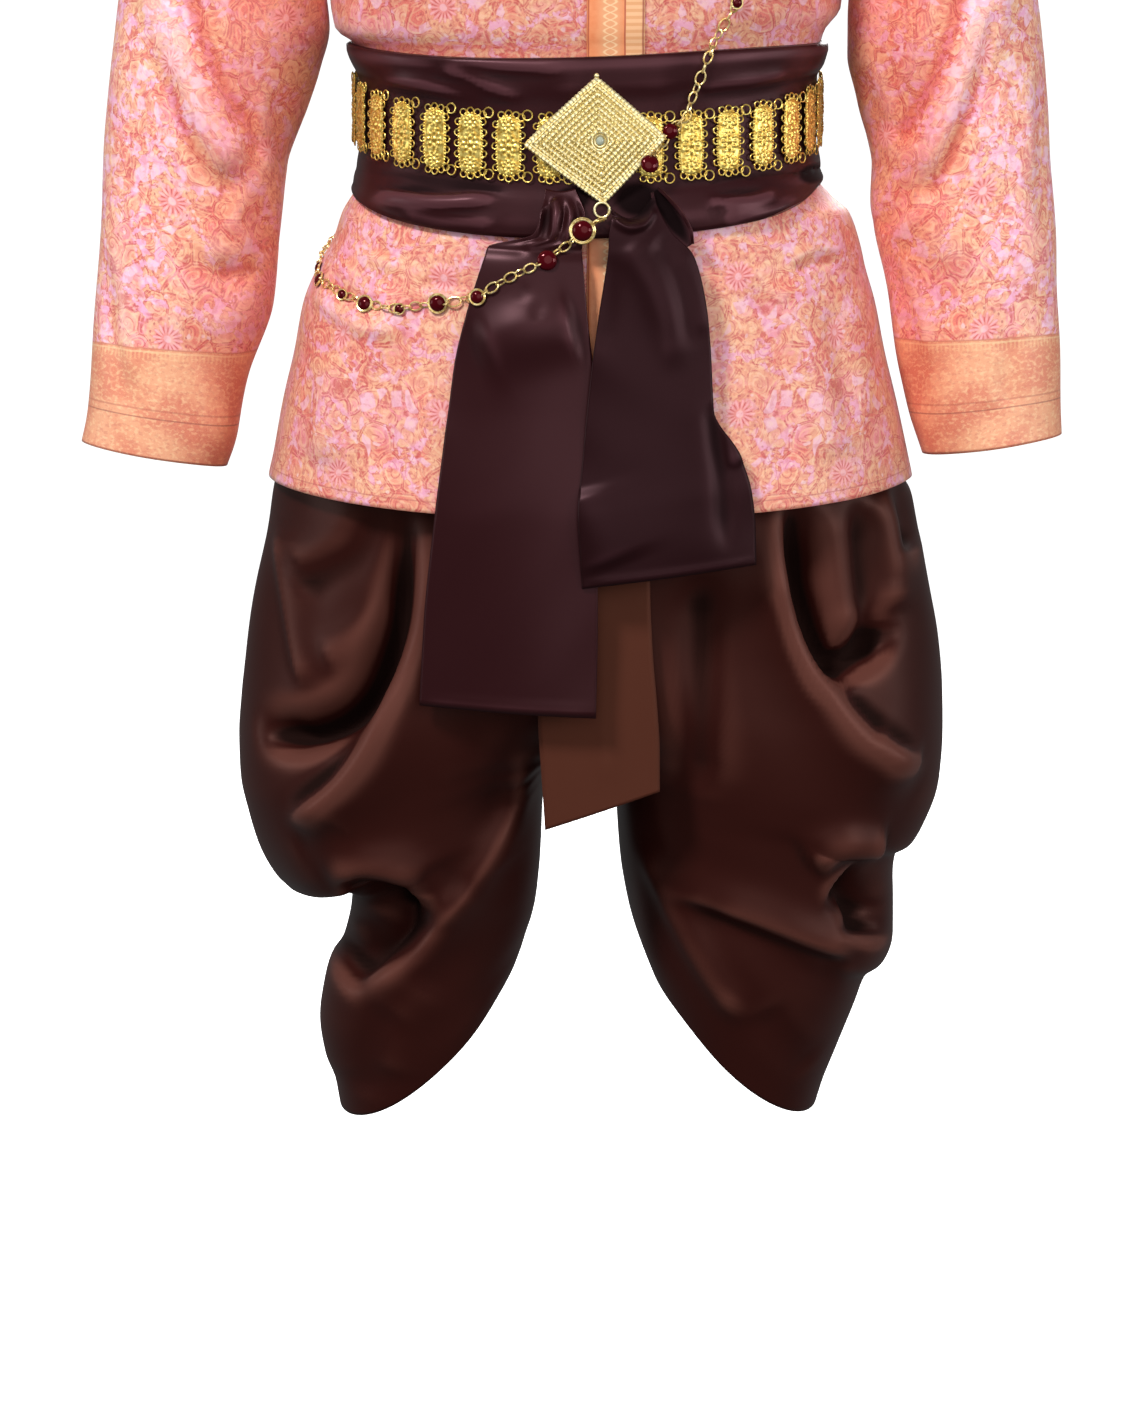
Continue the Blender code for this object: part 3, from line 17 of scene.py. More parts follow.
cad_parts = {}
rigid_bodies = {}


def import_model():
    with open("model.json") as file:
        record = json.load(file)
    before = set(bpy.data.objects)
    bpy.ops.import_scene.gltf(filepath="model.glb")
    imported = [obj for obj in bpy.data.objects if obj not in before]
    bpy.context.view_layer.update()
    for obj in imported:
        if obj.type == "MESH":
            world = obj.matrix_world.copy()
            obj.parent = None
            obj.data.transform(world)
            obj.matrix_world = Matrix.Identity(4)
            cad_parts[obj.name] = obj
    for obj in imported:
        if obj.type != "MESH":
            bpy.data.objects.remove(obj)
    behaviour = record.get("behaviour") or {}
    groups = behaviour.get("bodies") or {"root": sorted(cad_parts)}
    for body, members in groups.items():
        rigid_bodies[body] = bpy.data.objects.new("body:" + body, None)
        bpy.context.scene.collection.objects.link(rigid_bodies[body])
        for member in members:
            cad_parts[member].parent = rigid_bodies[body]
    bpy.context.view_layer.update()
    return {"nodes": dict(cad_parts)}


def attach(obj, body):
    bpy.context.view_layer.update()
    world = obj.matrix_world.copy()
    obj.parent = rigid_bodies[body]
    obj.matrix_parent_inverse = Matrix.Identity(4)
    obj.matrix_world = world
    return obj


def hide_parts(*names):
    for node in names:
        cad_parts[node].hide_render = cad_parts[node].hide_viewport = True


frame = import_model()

MM = 0.001
DEG = math.pi / 180

# Cloth and seams
SEAM = 0.3 * MM
BROCADE = 2.0 * MM
PLACKET_CLOTH = 1.0 * MM
STAND_COLLAR = 2.6 * MM
TROUSER_SATIN = 2.0 * MM
WAISTBAND = 2.4 * MM
WAISTBAND_GAP = 1.9 * MM
FRONT_FLAP = 1.6 * MM
SASH_WRAP = 3.0 * MM
SASH_END = 2.2 * MM
LAYER_GAP = 1.5 * MM
OVER_PLACKET = PLACKET_CLOTH + 0.6 * MM
SQUARENESS = 0.10
SLOPE_STEP = 1e-4
FOLD_STEPS = 10
FOLD_FADE = 0.18
# the size of each part's ripple, the seed of its waves and its height
RIPPLES = {
    "jacket": (0.11, 3, 0.9 * MM),
    "jacket_sleeve_left": (0.07, 10, 1.1 * MM),
    "jacket_sleeve_right": (0.07, 12, 1.1 * MM),
    "trouser_leg_left": (0.09, 20, 1.2 * MM),
    "trouser_leg_right": (0.09, 22, 1.2 * MM),
    "sash_wrap": (0.06, 5, 0.35 * MM),
    "sash_end_left": (0.07, 7, 0.7 * MM),
    "sash_end_right": (0.07, 9, 0.7 * MM),
    "trouser_front_flap": (0.08, 31, 0.5 * MM),
}

# Jacket; its gaps at the seams are angles round the body
HEM_SIDE = -0.2735
HEM_DROP = 0.016
HEM_FADE = -0.11
NECK_HEIGHT = 0.430
ARMHOLE_MIDDLE = 0.3055
ARMHOLE_REACH = 0.0695
ARMHOLE_ANGLE = 36 * DEG
SIDE_GAP = SEAM / 2 / 0.2
FRONT_GAP = SEAM / 2 / 0.14
PLACKET_LEFT = -0.0033
PLACKET_RIGHT = 0.0400
COLLAR_HEIGHT = 0.034
COLLAR_OPENING = 7 * DEG

# Trousers; their folds start at one height, under the jacket, and have their full depth at the other
BAND_BOTTOM = -0.016
BAND_HEIGHT = 0.036
ROLL_WAVE = 0.002
FOLDS_FROM = -0.262
FOLDS_FULL = -0.300

# Sash
SASH_TOP = 0.0605
SASH_TOP_DIP = 0.008
SASH_BOTTOM_SIDE = -0.0490
SASH_BOTTOM_DROP = 0.033
SASH_BOTTOM_TILT = 0.0045
SHEET_BOW = 1.2
END_BOW = 0.003
END_SAG_LENGTH = 0.45
END_PLEAT_HEIGHT = 0.0045
END_PLEAT_LENGTH = 0.30
LOOP_START = 170
LOOP_END = 385

# Belt: plates with an embossed core, edged with rings of wire
PLATE_WIDTH = 0.0245
PLATE_HEIGHT = 0.0560
CORE_WIDTH = 0.0185
CORE_HEIGHT = 0.0450
CORE_ROUNDING = 0.26
CORE_FRONT = 1.5 * MM
CORE_FOOT = 0.4 * MM
CORE_STEP = 1.0 * MM
PLATE_RELIEF = 1.3 * MM
EDGE_WIRE = 0.55 * MM
BELT_SIDE_HEIGHT = 0.009
BELT_DIP = 0.0235
FIRST_PLATE = 0.0672
HIDDEN_PLATE = 0.0370
PLATES_A_SIDE = 15

# Buckle and its ring; shares are of the way out, and the two twisted rims have a wire and a lift as well
BUCKLE_CENTRE = (0.0064, -0.1386, -0.0082)
BUCKLE_TURN = 3 * DEG
BUCKLE_BOW = 1.02
BUCKLE_LEFT = 0.0565
BUCKLE_RIGHT = 0.0490
BUCKLE_HALF_HEIGHT = 0.0470
BUCKLE_RIMS = ((0.970, 0.0018, 0.0004), (0.915, 0.0008, 0.0008))
BUCKLE_RIDGES = (0.855, 0.745, 0.635, 0.525, 0.415, 0.305, 0.200)
BUCKLE_BEADS = (0.800, 0.690, 0.580, 0.470, 0.360, 0.252)
ROPE_WIRE = 1.25 * MM
ROPE_PITCH = 0.0034
ROPE_STEPS = 7.5
BEAD_RADIUS = 0.7 * MM
BEAD_PITCH = 4.4
RING_CENTRE = (0.0079, -0.1420, -0.0596)
RING_RADIUS = 5.6 * MM
RING_WIRE = 1.0 * MM

# Chain links: pitch, half length, half width, wire and height off the cloth, then how each leans and its size
LINK_PITCH = 0.0078
LINK_LONG = 0.0049
LINK_WIDE = 0.0032
LINK_WIRE = 0.00075
LINK_LIFT = 0.0017
LINK_REACH = 0.0016
LINK_LEANS = (8, 62, -12, -58, 15, 50)
LINK_SIZES = (1.0, 0.80, 1.12, 0.78, 0.95, 0.82)
LOOK_FROM = 0.02
ROUTE_STEPS = 12

# A bezel's wires: radius, height and thickness as shares of the stone's radius
BEZEL_WIRES = ((0.90, 0.02, 0.10), (0.80, 0.10, 0.05))

# The ways that a chain's places are seen from: axes of their two numbers, and of the ray
RAYS = {
    "above": ((1, 0, 0), (0, 1, 0), (0, 0, -1)),
    "front": ((1, 0, 0), (0, 0, 1), (0, 1, 0)),
    "back": ((1, 0, 0), (0, 0, 1), (0, -1, 0)),
    "left": ((0, 1, 0), (0, 0, 1), (1, 0, 0)),
}

# Camera, floor and light; a light's name, place, size and power
CAMERA_TARGET = (-0.0226, 0.0, -0.4525)
CAMERA_FALL = 9 * DEG
CAMERA_DISTANCE = 4.5
CAMERA_LENS = 148.13
FLOOR_HEIGHT = -1.12
WORLD_LIGHT = 0.15
LIT_POINT = (0.0, 0.0, -0.25)
LIGHTS = (
    ("key", (-2.2, -2.9, 3.2), 1.0, 222.0),
    ("soft", (0.5, -4.2, 0.8), 4.0, 68.0),
    ("fill", (3.2, -2.4, 0.4), 1.6, 52.0),
    ("back", (0.4, 3.6, 1.6), 3.0, 170.0),
    ("left side", (-3.6, -0.6, 0.3), 1.6, 18.0),
    ("right side", (3.6, -0.6, 0.3), 1.6, 18.0),
)

# Brocade; painted shade darkens a sleeve's silk between two distances from its outer side
PINK = "#F4A0AE"
LILAC = "#F2B2D8"
CORAL = "#EA7A6C"
GOLD = "#F2B28C"
LINE_GOLD = "#F8D4A6"
RED = "#C8343E"
ROSETTE_CELL = (0.088, 0.104)
SLEEVE_PAINTED_SHADE = (0.085, 0.150)
CUFF_BAND = 0.0800
TWIST_MIDDLE = 0.0175
# place above the cuff's edge, half width, strength and colour of each woven line
CUFF_LINES = (
    (0.0790, 0.0010, 0.6, "#C0604A"),
    (0.0765, 0.0010, 0.5, "#F6D2A0"),
    (0.0350, 0.0010, 0.5, "#B5523C"),
    (0.0290, 0.0008, 0.7, "#A04A38"),
    (0.0010, 0.0008, 0.6, "#A84A38"),
)

# Satins: colour, colour of the ridges (a painted highlight), of the gloss, and roughness
SATIN_GLOSS = 0.40
SASH_LOOK = ("#260D0F", "#623C42", "#CC98A0", 0.36)
# the right end's satin is a darker copy of the sash's: painted shade
RIGHT_END_SHADED_LOOK = ("#1C090B", "#4C2E34", "#A87C84", 0.38)
TROUSER_LOOK = ("#2C0F0C", "#74463C", "#C08C80", 0.41)
FLAP_LOOK = ("#4A261C", "#6A4032", "#B88870", 0.50)
# painted shade, darker and duller, in ellipses round the knot and under the belt: middle x and height, half width and
# half height
WRAP_PAINTED_SHADE = (
    (0.0348, -0.0523, 0.0180, 0.0130),
    (-0.0144, -0.0516, 0.0140, 0.0090),
    (0.1695, -0.0385, 0.0130, 0.0070),
)
# painted shade in the right end's mouth, in the same columns
MOUTH_PAINTED_SHADE = ((0.0309, -0.0535, 0.0165, 0.0125),)
# painted shade: the loop is painted dark behind the first y and left lit before the second
LOOP_PAINTED_SHADE = (-0.1385, -0.1425)

# height, half width at the left and right, depth to the front and back
TORSO = (
    (-300, 251.5, 251.5, 166, 178), (-274.3, 248.9, 248.2, 163, 174), (-256.4, 244.9, 244.7, 160, 171),
    (-215.2, 236.9, 236, 154, 163.5), (-178, 228.1, 226.8, 148, 154.5), (-140, 221, 218.9, 141, 147),
    (-112.3, 209.9, 210.9, 136, 141.5), (-89.9, 197.5, 206.1, 132.5, 137.5), (-70, 190.5, 198.5, 130, 133.5),
    (-60, 184.5, 187, 129, 131), (-50, 177.5, 177, 128.2, 129.5), (-44, 175.5, 174, 127.5, 128.5),
    (-37, 173.6, 169.5, 127, 127.5), (0, 173.3, 168.8, 127, 127), (33, 173.6, 169.2, 127.2, 127.4),
    (50, 179.5, 173.5, 128, 128), (60.2, 183, 176.5, 129, 129), (68, 195, 179, 132, 133),
    (85.3, 198, 191.5, 135, 137), (130, 199.5, 195, 139, 142), (180, 203, 199, 141, 147),
    (236, 208.5, 204.5, 141, 150), (300, 215, 211, 134, 146), (340, 221, 217, 118, 132), (375, 225, 221, 95, 106),
    (400, 156, 156, 83, 90), (430, 78, 78, 70, 74),
)

# Sleeves from the shoulder down: outer x and height, inner x and height, half depth to the front and back, shift
# to the back. Legs from the waist down: inner x and height, outer x and height, depth to the front and back, droop of
# the front, and the degrees at which the sheet starts.
TUBES = {
    "jacket_sleeve_left": (
        (262, 358, 219, 234, 80, 80, 0), (300, 300, 219, 208, 77, 79, 0), (330, 215, 209.5, 165, 74, 77, 0),
        (350, 145, 204.5, 118, 72, 75, 0), (361.6, 90.6, 199.8, 71, 70, 73, 0), (365.5, 62, 207.4, 39.6, 69, 71, 0),
        (368.5, 32, 217, 10, 68, 69, 0), (372.1, -14.7, 232.5, -35.3, 64, 65, -2), (374, -45, 236, -64, 60, 62, -4),
        (375.9, -73, 239.8, -96.8, 58, 60, -6), (379.6, -120, 244.8, -139.3, 55, 56, -8),
        (384.9, -179.5, 263, -195.8, 50, 51, -11), (388.6, -226.8, 273, -244, 47, 48, -14),
        (392, -246.3, 281.4, -265, 45.5, 46.5, -15),
    ),
    "jacket_sleeve_right": (
        (258, 358, 215.5, 234, 80, 80, 0), (292, 300, 215, 208, 77, 79, 0), (320, 215, 206, 165, 74, 77, 0),
        (334.5, 145, 200.5, 118, 71, 74, 0), (342.4, 90.6, 196.5, 77, 69, 72, 0), (345.5, 62, 195.5, 48.8, 68, 70, 0),
        (348.6, 32, 204.5, 15, 66, 68, 0), (353, -14.7, 216.5, -35, 62, 64, -2), (355.2, -45, 216, -61.4, 60, 62, -4),
        (356.9, -73, 219.2, -87.6, 58, 60, -6), (359.8, -120, 229, -138, 54, 56, -8),
        (361.4, -179.5, 239, -190, 50, 51, -11), (362.2, -220, 246, -225, 47, 48, -14),
        (363, -240.8, 256, -256, 45.5, 46.5, -15),
    ),
    "trouser_leg_left": (
        (0, -16.3, 168.6, -16.3, 122.2, 122.2, 0, 90), (0, -42, 168.8, -42, 122.2, 123, 0, 90),
        (0, -100, 190, -100, 126, 130, 0, 90), (0, -160, 211, -160, 131, 138, 0, 90),
        (0, -225, 230, -225, 137, 146, 0, 90), (0, -279, 244.3, -279, 141, 150, 0, 90),
        (0, -311, 250, -315, 142, 151, 0, 90), (0, -352, 259, -360.4, 141, 150, 0, 90),
        (0, -392, 267.2, -409, 139, 148, 0, 86), (0, -425, 272.2, -446, 136, 145, 0, 72),
        (0, -450, 274, -474.6, 133, 142, 0, 52), (0, -468, 272.7, -507.1, 130, 138, 0, 28),
        (10, -480, 266.7, -536.5, 127, 135, 0, 6), (26, -492, 257.5, -566.7, 124, 132, 0, 0),
        (34.5, -505, 241.3, -593, 121, 128, 0, 0), (36.8, -520, 226.5, -602.5, 118, 124, 0, 0),
        (37.2, -535, 202.1, -597, 112, 118, 0, 0), (37.5, -552, 187, -602.5, 106, 112, 0, 0),
        (38.2, -572, 189, -618, 102, 108, 0, 0), (39.8, -590, 196, -638, 99, 105, 2, 0),
        (42, -606, 207.3, -665.7, 95, 101, 6, 0), (45.5, -620, 212.2, -699.4, 91, 97, 12, 0),
        (50, -632, 207.7, -729.2, 86, 92, 18, 0), (53.5, -642, 199.5, -750, 82, 88, 25, 0),
        (56.5, -649, 196.1, -769.5, 78, 84, 30, 0),
    ),
    "trouser_leg_right": (
        (0, -16.3, 164.2, -16.3, 122.2, 122.2, 0, 90), (0, -42, 164.5, -42, 122.2, 123, 0, 90),
        (0, -100, 190, -100, 126, 130, 0, 90), (0, -160, 211, -160, 131, 138, 0, 90),
        (0, -220, 228.5, -220, 136.5, 145.5, 0, 90), (0, -270, 240, -270, 140, 149, 0, 90),
        (0, -288, 249.8, -288, 141, 150, 0, 90), (0, -315, 256.2, -315, 141.5, 150.5, 0, 90),
        (0, -356, 264.5, -360, 140, 149, 0, 90), (0, -396, 270.8, -400, 138, 147, 0, 84),
        (0, -430, 274, -440, 135, 144, 0, 68), (0, -454, 274.8, -474.6, 132.5, 141.5, 0, 46),
        (0, -470, 272.1, -513.4, 129.5, 138, 0, 22), (8, -482, 262.2, -543.6, 126.5, 134.5, 0, 3),
        (15, -495, 251.5, -562, 123.5, 131, 0, 0), (18.5, -510, 240.2, -569, 120.5, 127.5, 0, 0),
        (20, -525, 237.8, -586, 118, 125, 0, 0), (21.2, -540.4, 238.5, -608, 115, 121, 0, 0),
        (23, -560, 237.3, -639.3, 111, 117, 0, 0), (25, -578, 229.6, -659.3, 107, 113, 0, 0),
        (28, -597, 217, -668, 102, 108, 2, 0), (31.5, -615, 207.1, -692.2, 96, 102, 8, 0),
        (36, -631, 192.5, -727, 89, 95, 16, 0), (41, -643, 183.5, -750, 83, 89, 22, 0),
        (45.5, -652, 178.5, -768, 78, 84, 27, 0),
    ),
}

# Hanging sheets from the top down: left x and height, right x and height, y of the front face
SHEETS = {
    "sash_end_left": (
        (-34, -44, -12, -44, -135.8), (-37, -60, -4.5, -64, -144), (-43, -77, -6.5, -84, -147),
        (-76.8, -87, -7, -90, -146), (-80, -96, -6.2, -100, -150), (-93.2, -136.4, -3, -136.4, -156),
        (-102, -172, 1, -172, -158), (-106.7, -208, 4, -208, -161), (-117.4, -288.3, 4.5, -288.3, -170.5),
        (-126, -369, 5, -369, -171), (-129.2, -432, 3.7, -439, -170),
    ),
    "sash_end_right": (
        (15, -59, 46, -49, -149), (15, -62, 48, -54, -151.5), (14.6, -68, 52, -62.5, -153.5),
        (13.2, -77, 60, -76, -154.5), (12.5, -90, 76, -93, -156), (4.8, -141.1, 85.3, -127.7, -160),
        (-1.8, -193.9, 89.5, -167.8, -164), (-7, -247.8, 91.5, -207, -169), (-9.2, -270, 112, -243, -172),
        (-9.9, -287.5, 120.5, -270, -174.5), (-8.5, -314, 123.6, -298, -175), (-6.9, -340.2, 123.8, -324.4, -174.5),
    ),
    "trouser_front_flap": (
        (-34, -100, 40, -100, -128.6), (-36, -160, 42, -160, -135.6), (-38, -230, 43, -230, -142.6),
        (-39.5, -290, 44, -290, -146.6), (-40.5, -350, 44.5, -345, -148.6), (-40.5, -400, 46.7, -394.4, -149.6),
        (-39.9, -446.3, 49.8, -430.3, -149.6), (-37.7, -481.5, 52.1, -466.9, -149.1),
        (-34.7, -528.3, 52.2, -499.1, -148.6),
    ),
    "trouser_back_roll": (
        (-24, -135, 24, -135, 139.5), (-25, -170, 25, -170, 145), (-26, -230, 26, -230, 152.5),
        (-27, -290, 27, -290, 157), (-27, -350, 27, -350, 157), (-25, -400, 25, -400, 154),
        (-20, -440, 20, -440, 149),
    ),
}

# axis of the knot's loop: x, height, y, then its half width and half depth
KNOT_LOOP = (
    (47.5, -45, -140, 4, 4), (53.5, -55.5, -143, 7.8, 8), (60.5, -66.5, -145, 9.8, 9.5),
    (67.5, -77.5, -145, 8.8, 8.5), (73.5, -86.5, -143, 4, 5),
)

# Folds: height, spread on the left and right side of their line, then the line's places, as x and height
FOLDS = {
    "jacket": (
        (4, 12, 20, -150, -110, -190, -190, -205, -260), (-3, 12, 12, -125, -110, -150, -200, -155, -270),
        (3.5, 14, 18, 140, -105, 170, -190, 185, -255), (-3, 12, 12, 115, -110, 140, -190, 148, -270),
        (4, 14, 18, -150, 90, -140, 150, -165, 230), (4, 14, 18, 145, 90, 140, 150, 165, 230),
        (3.4, 4.6, 6.9, -185, -79, -175, -93, -159, -102, -141, -106),
        (-3.1, 4.6, 4.6, -180, -75, -165, -90, -144, -98), (2.8, 4.6, 5.7, -172, -72, -156, -85, -135, -93),
        (-3.4, 5.7, 4.6, -200, -115, -182, -128, -155, -134),
        (3.6, 5.7, 8, -213, -128, -194, -141, -165, -153, -143, -150),
        (-2.5, 5.7, 5.7, -133, -120, -114, -118, -93, -121), (2.5, 4.6, 6.9, -132, -126, -114, -124, -94, -128),
        (2.2, 9.2, 11.5, -197, -168, -203, -214, -207, -260), (3.6, 4.6, 5.7, 195, -95, 169, -93, 148, -103),
        (-2.8, 4.6, 4.6, 192, -102, 170, -100, 151, -109), (3.1, 4.6, 5.7, 191, -96, 177, -86, 163, -78),
        (-2.5, 4.6, 4.6, 185, -102, 171, -93), (2.8, 5.7, 6.9, 121, -102, 131, -119, 150, -131),
        (2.5, 9.2, 11.5, 195, -131, 205, -176, 213, -229), (-2.2, 9.2, 9.2, 182, -131, 190, -183, 198, -237),
    ),
    "jacket_sleeve_left": (
        (6, 12, 22, -345, 150, -325, 80, -290, 0, -262, -40), (-5, 12, 12, -310, 120, -292, 60, -262, 0, -240, -30),
        (2, 10, 14, -235, 20, -262, -60, -300, -100), (-1, 10, 10, -242, -85, -275, -110, -320, -110),
        (1.5, 10, 14, -250, -130, -285, -150, -330, -150),
        (-2.6, 7.8, 10.4, -326, 62, -315, 25, -307, -2, -297, -28, -280, -48, -267, -59),
        (2.6, 6.5, 10.4, -314, 62, -304, 25, -296, -2, -287, -22, -273, -42),
        (-2.6, 6.5, 9.1, -268, -68, -258, -75, -249, -86, -244, -103),
        (2.3, 6.5, 9.1, -278, -69, -267, -80, -258, -94, -255, -112),
        (-3, 9.1, 9.1, -286, -117, -269, -115, -251, -106), (2.6, 7.8, 10.4, -294, -106, -278, -98, -261, -101),
        (-2.4, 6.5, 7.8, -371, -89, -368, -127, -364, -166, -357, -200, -349, -227),
        (2.3, 6.5, 10.4, -365, -89, -361, -127, -356, -166, -348, -200),
        (-2.6, 6.5, 9.1, -242, 25, -239, -6, -239, -40), (2.3, 6.5, 7.8, -249, 25, -247, -6, -245, -40),
        (-2.3, 7.8, 10.4, -309, -135, -301, -166, -288, -196, -282, -234),
        (1.9, 7.8, 13, -274, 2, -264, -28, -250, -59),
    ),
    "jacket_sleeve_right": (
        (6, 22, 12, 320, 140, 300, 70, 270, 0, 245, -50), (-5, 12, 12, 285, 120, 268, 60, 245, 10, 226, -20),
        (1, 14, 10, 222, -10, 250, -70, 290, -110), (-1, 10, 10, 228, -80, 255, -110, 300, -125),
        (1, 14, 10, 235, -130, 265, -155, 310, -160), (3.4, 9.1, 6.5, 298, 100, 290, 70, 282, 42, 268, -8, 253, -49),
        (-3.4, 7.8, 6.5, 306, 100, 300, 70, 293, 42, 277, -8, 260, -49, 249, -62),
        (-2.6, 7.8, 7.8, 205, 47, 212, 21, 218, 2, 217, -21), (2.3, 7.8, 7.8, 213, 47, 221, 21, 227, -2, 226, -21),
        (-3, 7.8, 7.8, 220, -86, 229, -74, 238, -59, 241, -43), (2.3, 7.8, 7.8, 230, -91, 238, -79, 246, -65),
        (-2.4, 9.1, 7.8, 227, -97, 236, -123, 245, -150, 250, -189, 251, -231),
        (2.3, 7.8, 9.1, 236, -98, 245, -123, 255, -150, 261, -189),
        (-2.3, 7.8, 7.8, 345, 47, 344, 2, 345, -51, 347, -97), (1.9, 7.8, 7.8, 336, 47, 335, 2, 336, -51),
        (-1.9, 10.4, 10.4, 320, -158, 317, -189, 319, -219), (1.9, 10.4, 10.4, 310, -166, 305, -196, 306, -219),
    ),
    "trouser_leg_left": (
        (-24, 16, 12, -136, -272, -141, -356, -151, -397, -172, -433, -194, -452, -229, -464, -262, -467),
        (15, 9, 30, -128, -272, -135, -348, -142, -391, -152, -433, -165, -465, -186, -496, -210, -519, -235, -538),
        (4, 14, 14, -143, -280, -152, -341, -165, -372, -190, -394, -208, -405),
        (-2, 20, 20, -103, -425, -92, -494, -93, -556, -107, -587),
        (8, 10, 20, -49, -460, -58, -500, -74, -545, -90, -573, -109, -601, -130, -628, -163, -653, -199, -670),
        (-24, 18, 18, -140, -582, -147, -614, -171, -635, -200, -657),
        (10, 10, 18, -203, -579, -175, -565, -147, -568, -129, -587, -128, -614),
        (-10.8, 10.1, 7.2, -137, -280, -144, -371, -154, -406, -177, -439, -202, -456, -232, -465, -259, -467),
        (4.5, 5.1, 14.5, -131, -280, -138, -356, -145, -396, -155, -434, -170, -465, -191, -494, -214, -516, -234,
         -531),
        (-4.5, 15, 15, -161, -284, -178, -322, -201, -339, -226, -356),
        (3.4, 16, 14, -167, -280, -190, -314, -211, -329, -228, -337),
        (4.5, 5.1, 14.5, -242, -305, -235, -347, -227, -394, -217, -430),
        (-2, 14.5, 11.6, -229, -548, -205, -541, -188, -527),
        (2.7, 4.3, 11.6, -51, -467, -61, -510, -77, -548, -93, -578, -112, -604, -133, -630, -166, -654, -196, -668),
        (-7.2, 11.6, 10.1, -193, -586, -170, -578, -149, -584, -140, -602),
        (3.6, 7.2, 7.2, -183, -614, -183, -637, -188, -657), (2.7, 14.5, 20.3, -123, -653, -146, -692, -158, -739),
        (-2.7, 17.4, 17.4, -150, -676, -170, -715, -177, -755),
    ),
    "trouser_leg_right": (
        (15, 30, 9, 137, -265, 146, -341, 159, -381, 178, -423, 201, -455, 229, -480, 260, -498),
        (-20, 9, 16, 152, -265, 157, -341, 169, -385, 186, -408, 210, -400, 240, -378),
        (5, 10, 12, 216, -260, 229, -308, 235, -347, 232, -371),
        (-22, 16, 16, 188, -575, 205, -589, 216, -610, 211, -629), (11, 10, 16, 166, -565, 197, -548, 229, -551),
        (5.5, 8, 18, 50, -580, 100, -594, 141, -609, 172, -623, 210, -639),
        (-5, 18, 8, 60, -596, 112, -612, 145, -626, 174, -639, 203, -649),
        (6, 10, 12, 41, -548, 64, -599, 90, -647, 122, -693), (-8, 16, 16, 84, -326, 84, -425, 80, -510),
        (4.5, 14.5, 5.1, 134, -280, 143, -344, 156, -384, 175, -425, 198, -458, 228, -484, 254, -500),
        (-9, 7.2, 11.6, 150, -280, 156, -348, 168, -390, 184, -408, 197, -408),
        (2.8, 14, 14, 183, -280, 190, -348, 196, -387), (-9, 10.1, 10.1, 204, -272, 210, -344, 216, -387, 227, -394),
        (1.4, 6, 9, 214, -282, 226, -313, 233, -350), (-8.1, 8.7, 11.6, 234, -267, 244, -305, 247, -328),
        (3.6, 8.7, 11.6, 212, -455, 232, -476, 253, -488), (-7.2, 11.6, 11.6, 195, -582, 211, -594, 219, -615),
        (1.4, 6, 12, 93, -597, 122, -603, 149, -615, 177, -628, 205, -639),
        (-2.7, 14.5, 14.5, 130, -676, 153, -708, 173, -731), (2.7, 11.6, 14.5, 49, -479, 57, -533, 76, -587),
    ),
    "sash_wrap": (
        (3, 6, 8, -185, 40, -120, 30, -60, 12), (3, 6, 8, 165, 22, 120, 26, 90, 12),
        (4, 8, 10, -180, -56, -130, -58, -66, -52), (4, 8, 10, 172, -56, 130, -64, 92, -64),
        (2.4, 4, 6, -113, 47, -89, 38, -68, 28, -46, 16), (-1, 4, 4, -124, 39, -98, 29, -74, 19, -57, 7),
        (2, 4, 6, -127, 57, -90, 51, -53, 47, -16, 44), (2.4, 4, 6, -176, -53, -138, -57, -111, -58, -58, -52),
        (-1, 3, 4, -176, -47, -138, -50, -111, -51, -58, -45), (2, 5, 5, -143, -65, -106, -70, -68, -70),
        (2.2, 5, 4, 82, -56, 111, -57, 138, -52), (-1, 4, 3, 82, -62, 112, -63, 141, -58),
        (2.2, 6, 5, 74, 27, 111, 33, 148, 40), (-1, 4, 4, 74, 19, 111, 25, 148, 33),
    ),
    "sash_end_left": (
        (1.8, 6, 7, -29, -50, -25, -64, -23, -83), (-1.4, 5, 5, -37, -47, -35, -64, -32, -86),
        (1.4, 6, 6, -45, -53, -43, -71, -46, -98), (7, 20, 26, -8, -142, -31, -147, -56, -151, -90, -162),
        (-0.7, 5, 6, -52, -113, -50, -126), (-0.7, 5, 6, -41, -129, -39, -142),
        (-0.7, 8, 8, -19, -98, -17, -126, -19, -156), (1.2, 8, 10, -104, -125, -111, -185, -116, -245),
        (0.9, 2.2, 2.2, -134, -427.2, -60, -431.2, 9, -434.8),
    ),
    "sash_end_right": (
        (-2.6, 7, 7, 90, -199, 93, -229, 98, -259, 102, -319), (2.4, 6, 8, 97, -202, 103, -229, 109, -252),
        (3.4, 12, 17, 26, -80, 36, -97, 48, -118, 56, -148, 59, -185),
        (-1.8, 8, 9, 45, -78, 59, -97, 69, -126, 74, -163), (1.4, 8, 9, 61, -88, 75, -118, 83, -155),
        (-1.4, 8, 9, 12, -88, 11, -126, 8, -163), (3.6, 24, 28, -6, -262, 4, -294, 16, -326),
        (2.6, 3, 3, 15, -62.5, 20.5, -69, 29, -72.2, 37.5, -70.5, 44, -64, 47.5, -56),
        (0.9, 2.2, 2.2, -10, -336, 60, -328, 128, -319.5),
    ),
    "trouser_front_flap": (
        (0.7, 8, 12, 6, -340, 10, -420, 12, -500),
    ),
}

# thousandths of the way down the sash, and its swell there at the left and at the right
SASH_SWELL = ((0, 0.2, 0.6), (50, 1.8, 3), (140, 1.4, 3), (260, 0, 0),
              (730, 0, 0), (800, 1.2, 1.7), (900, 2, 3), (1000, 0.3, 0.4))

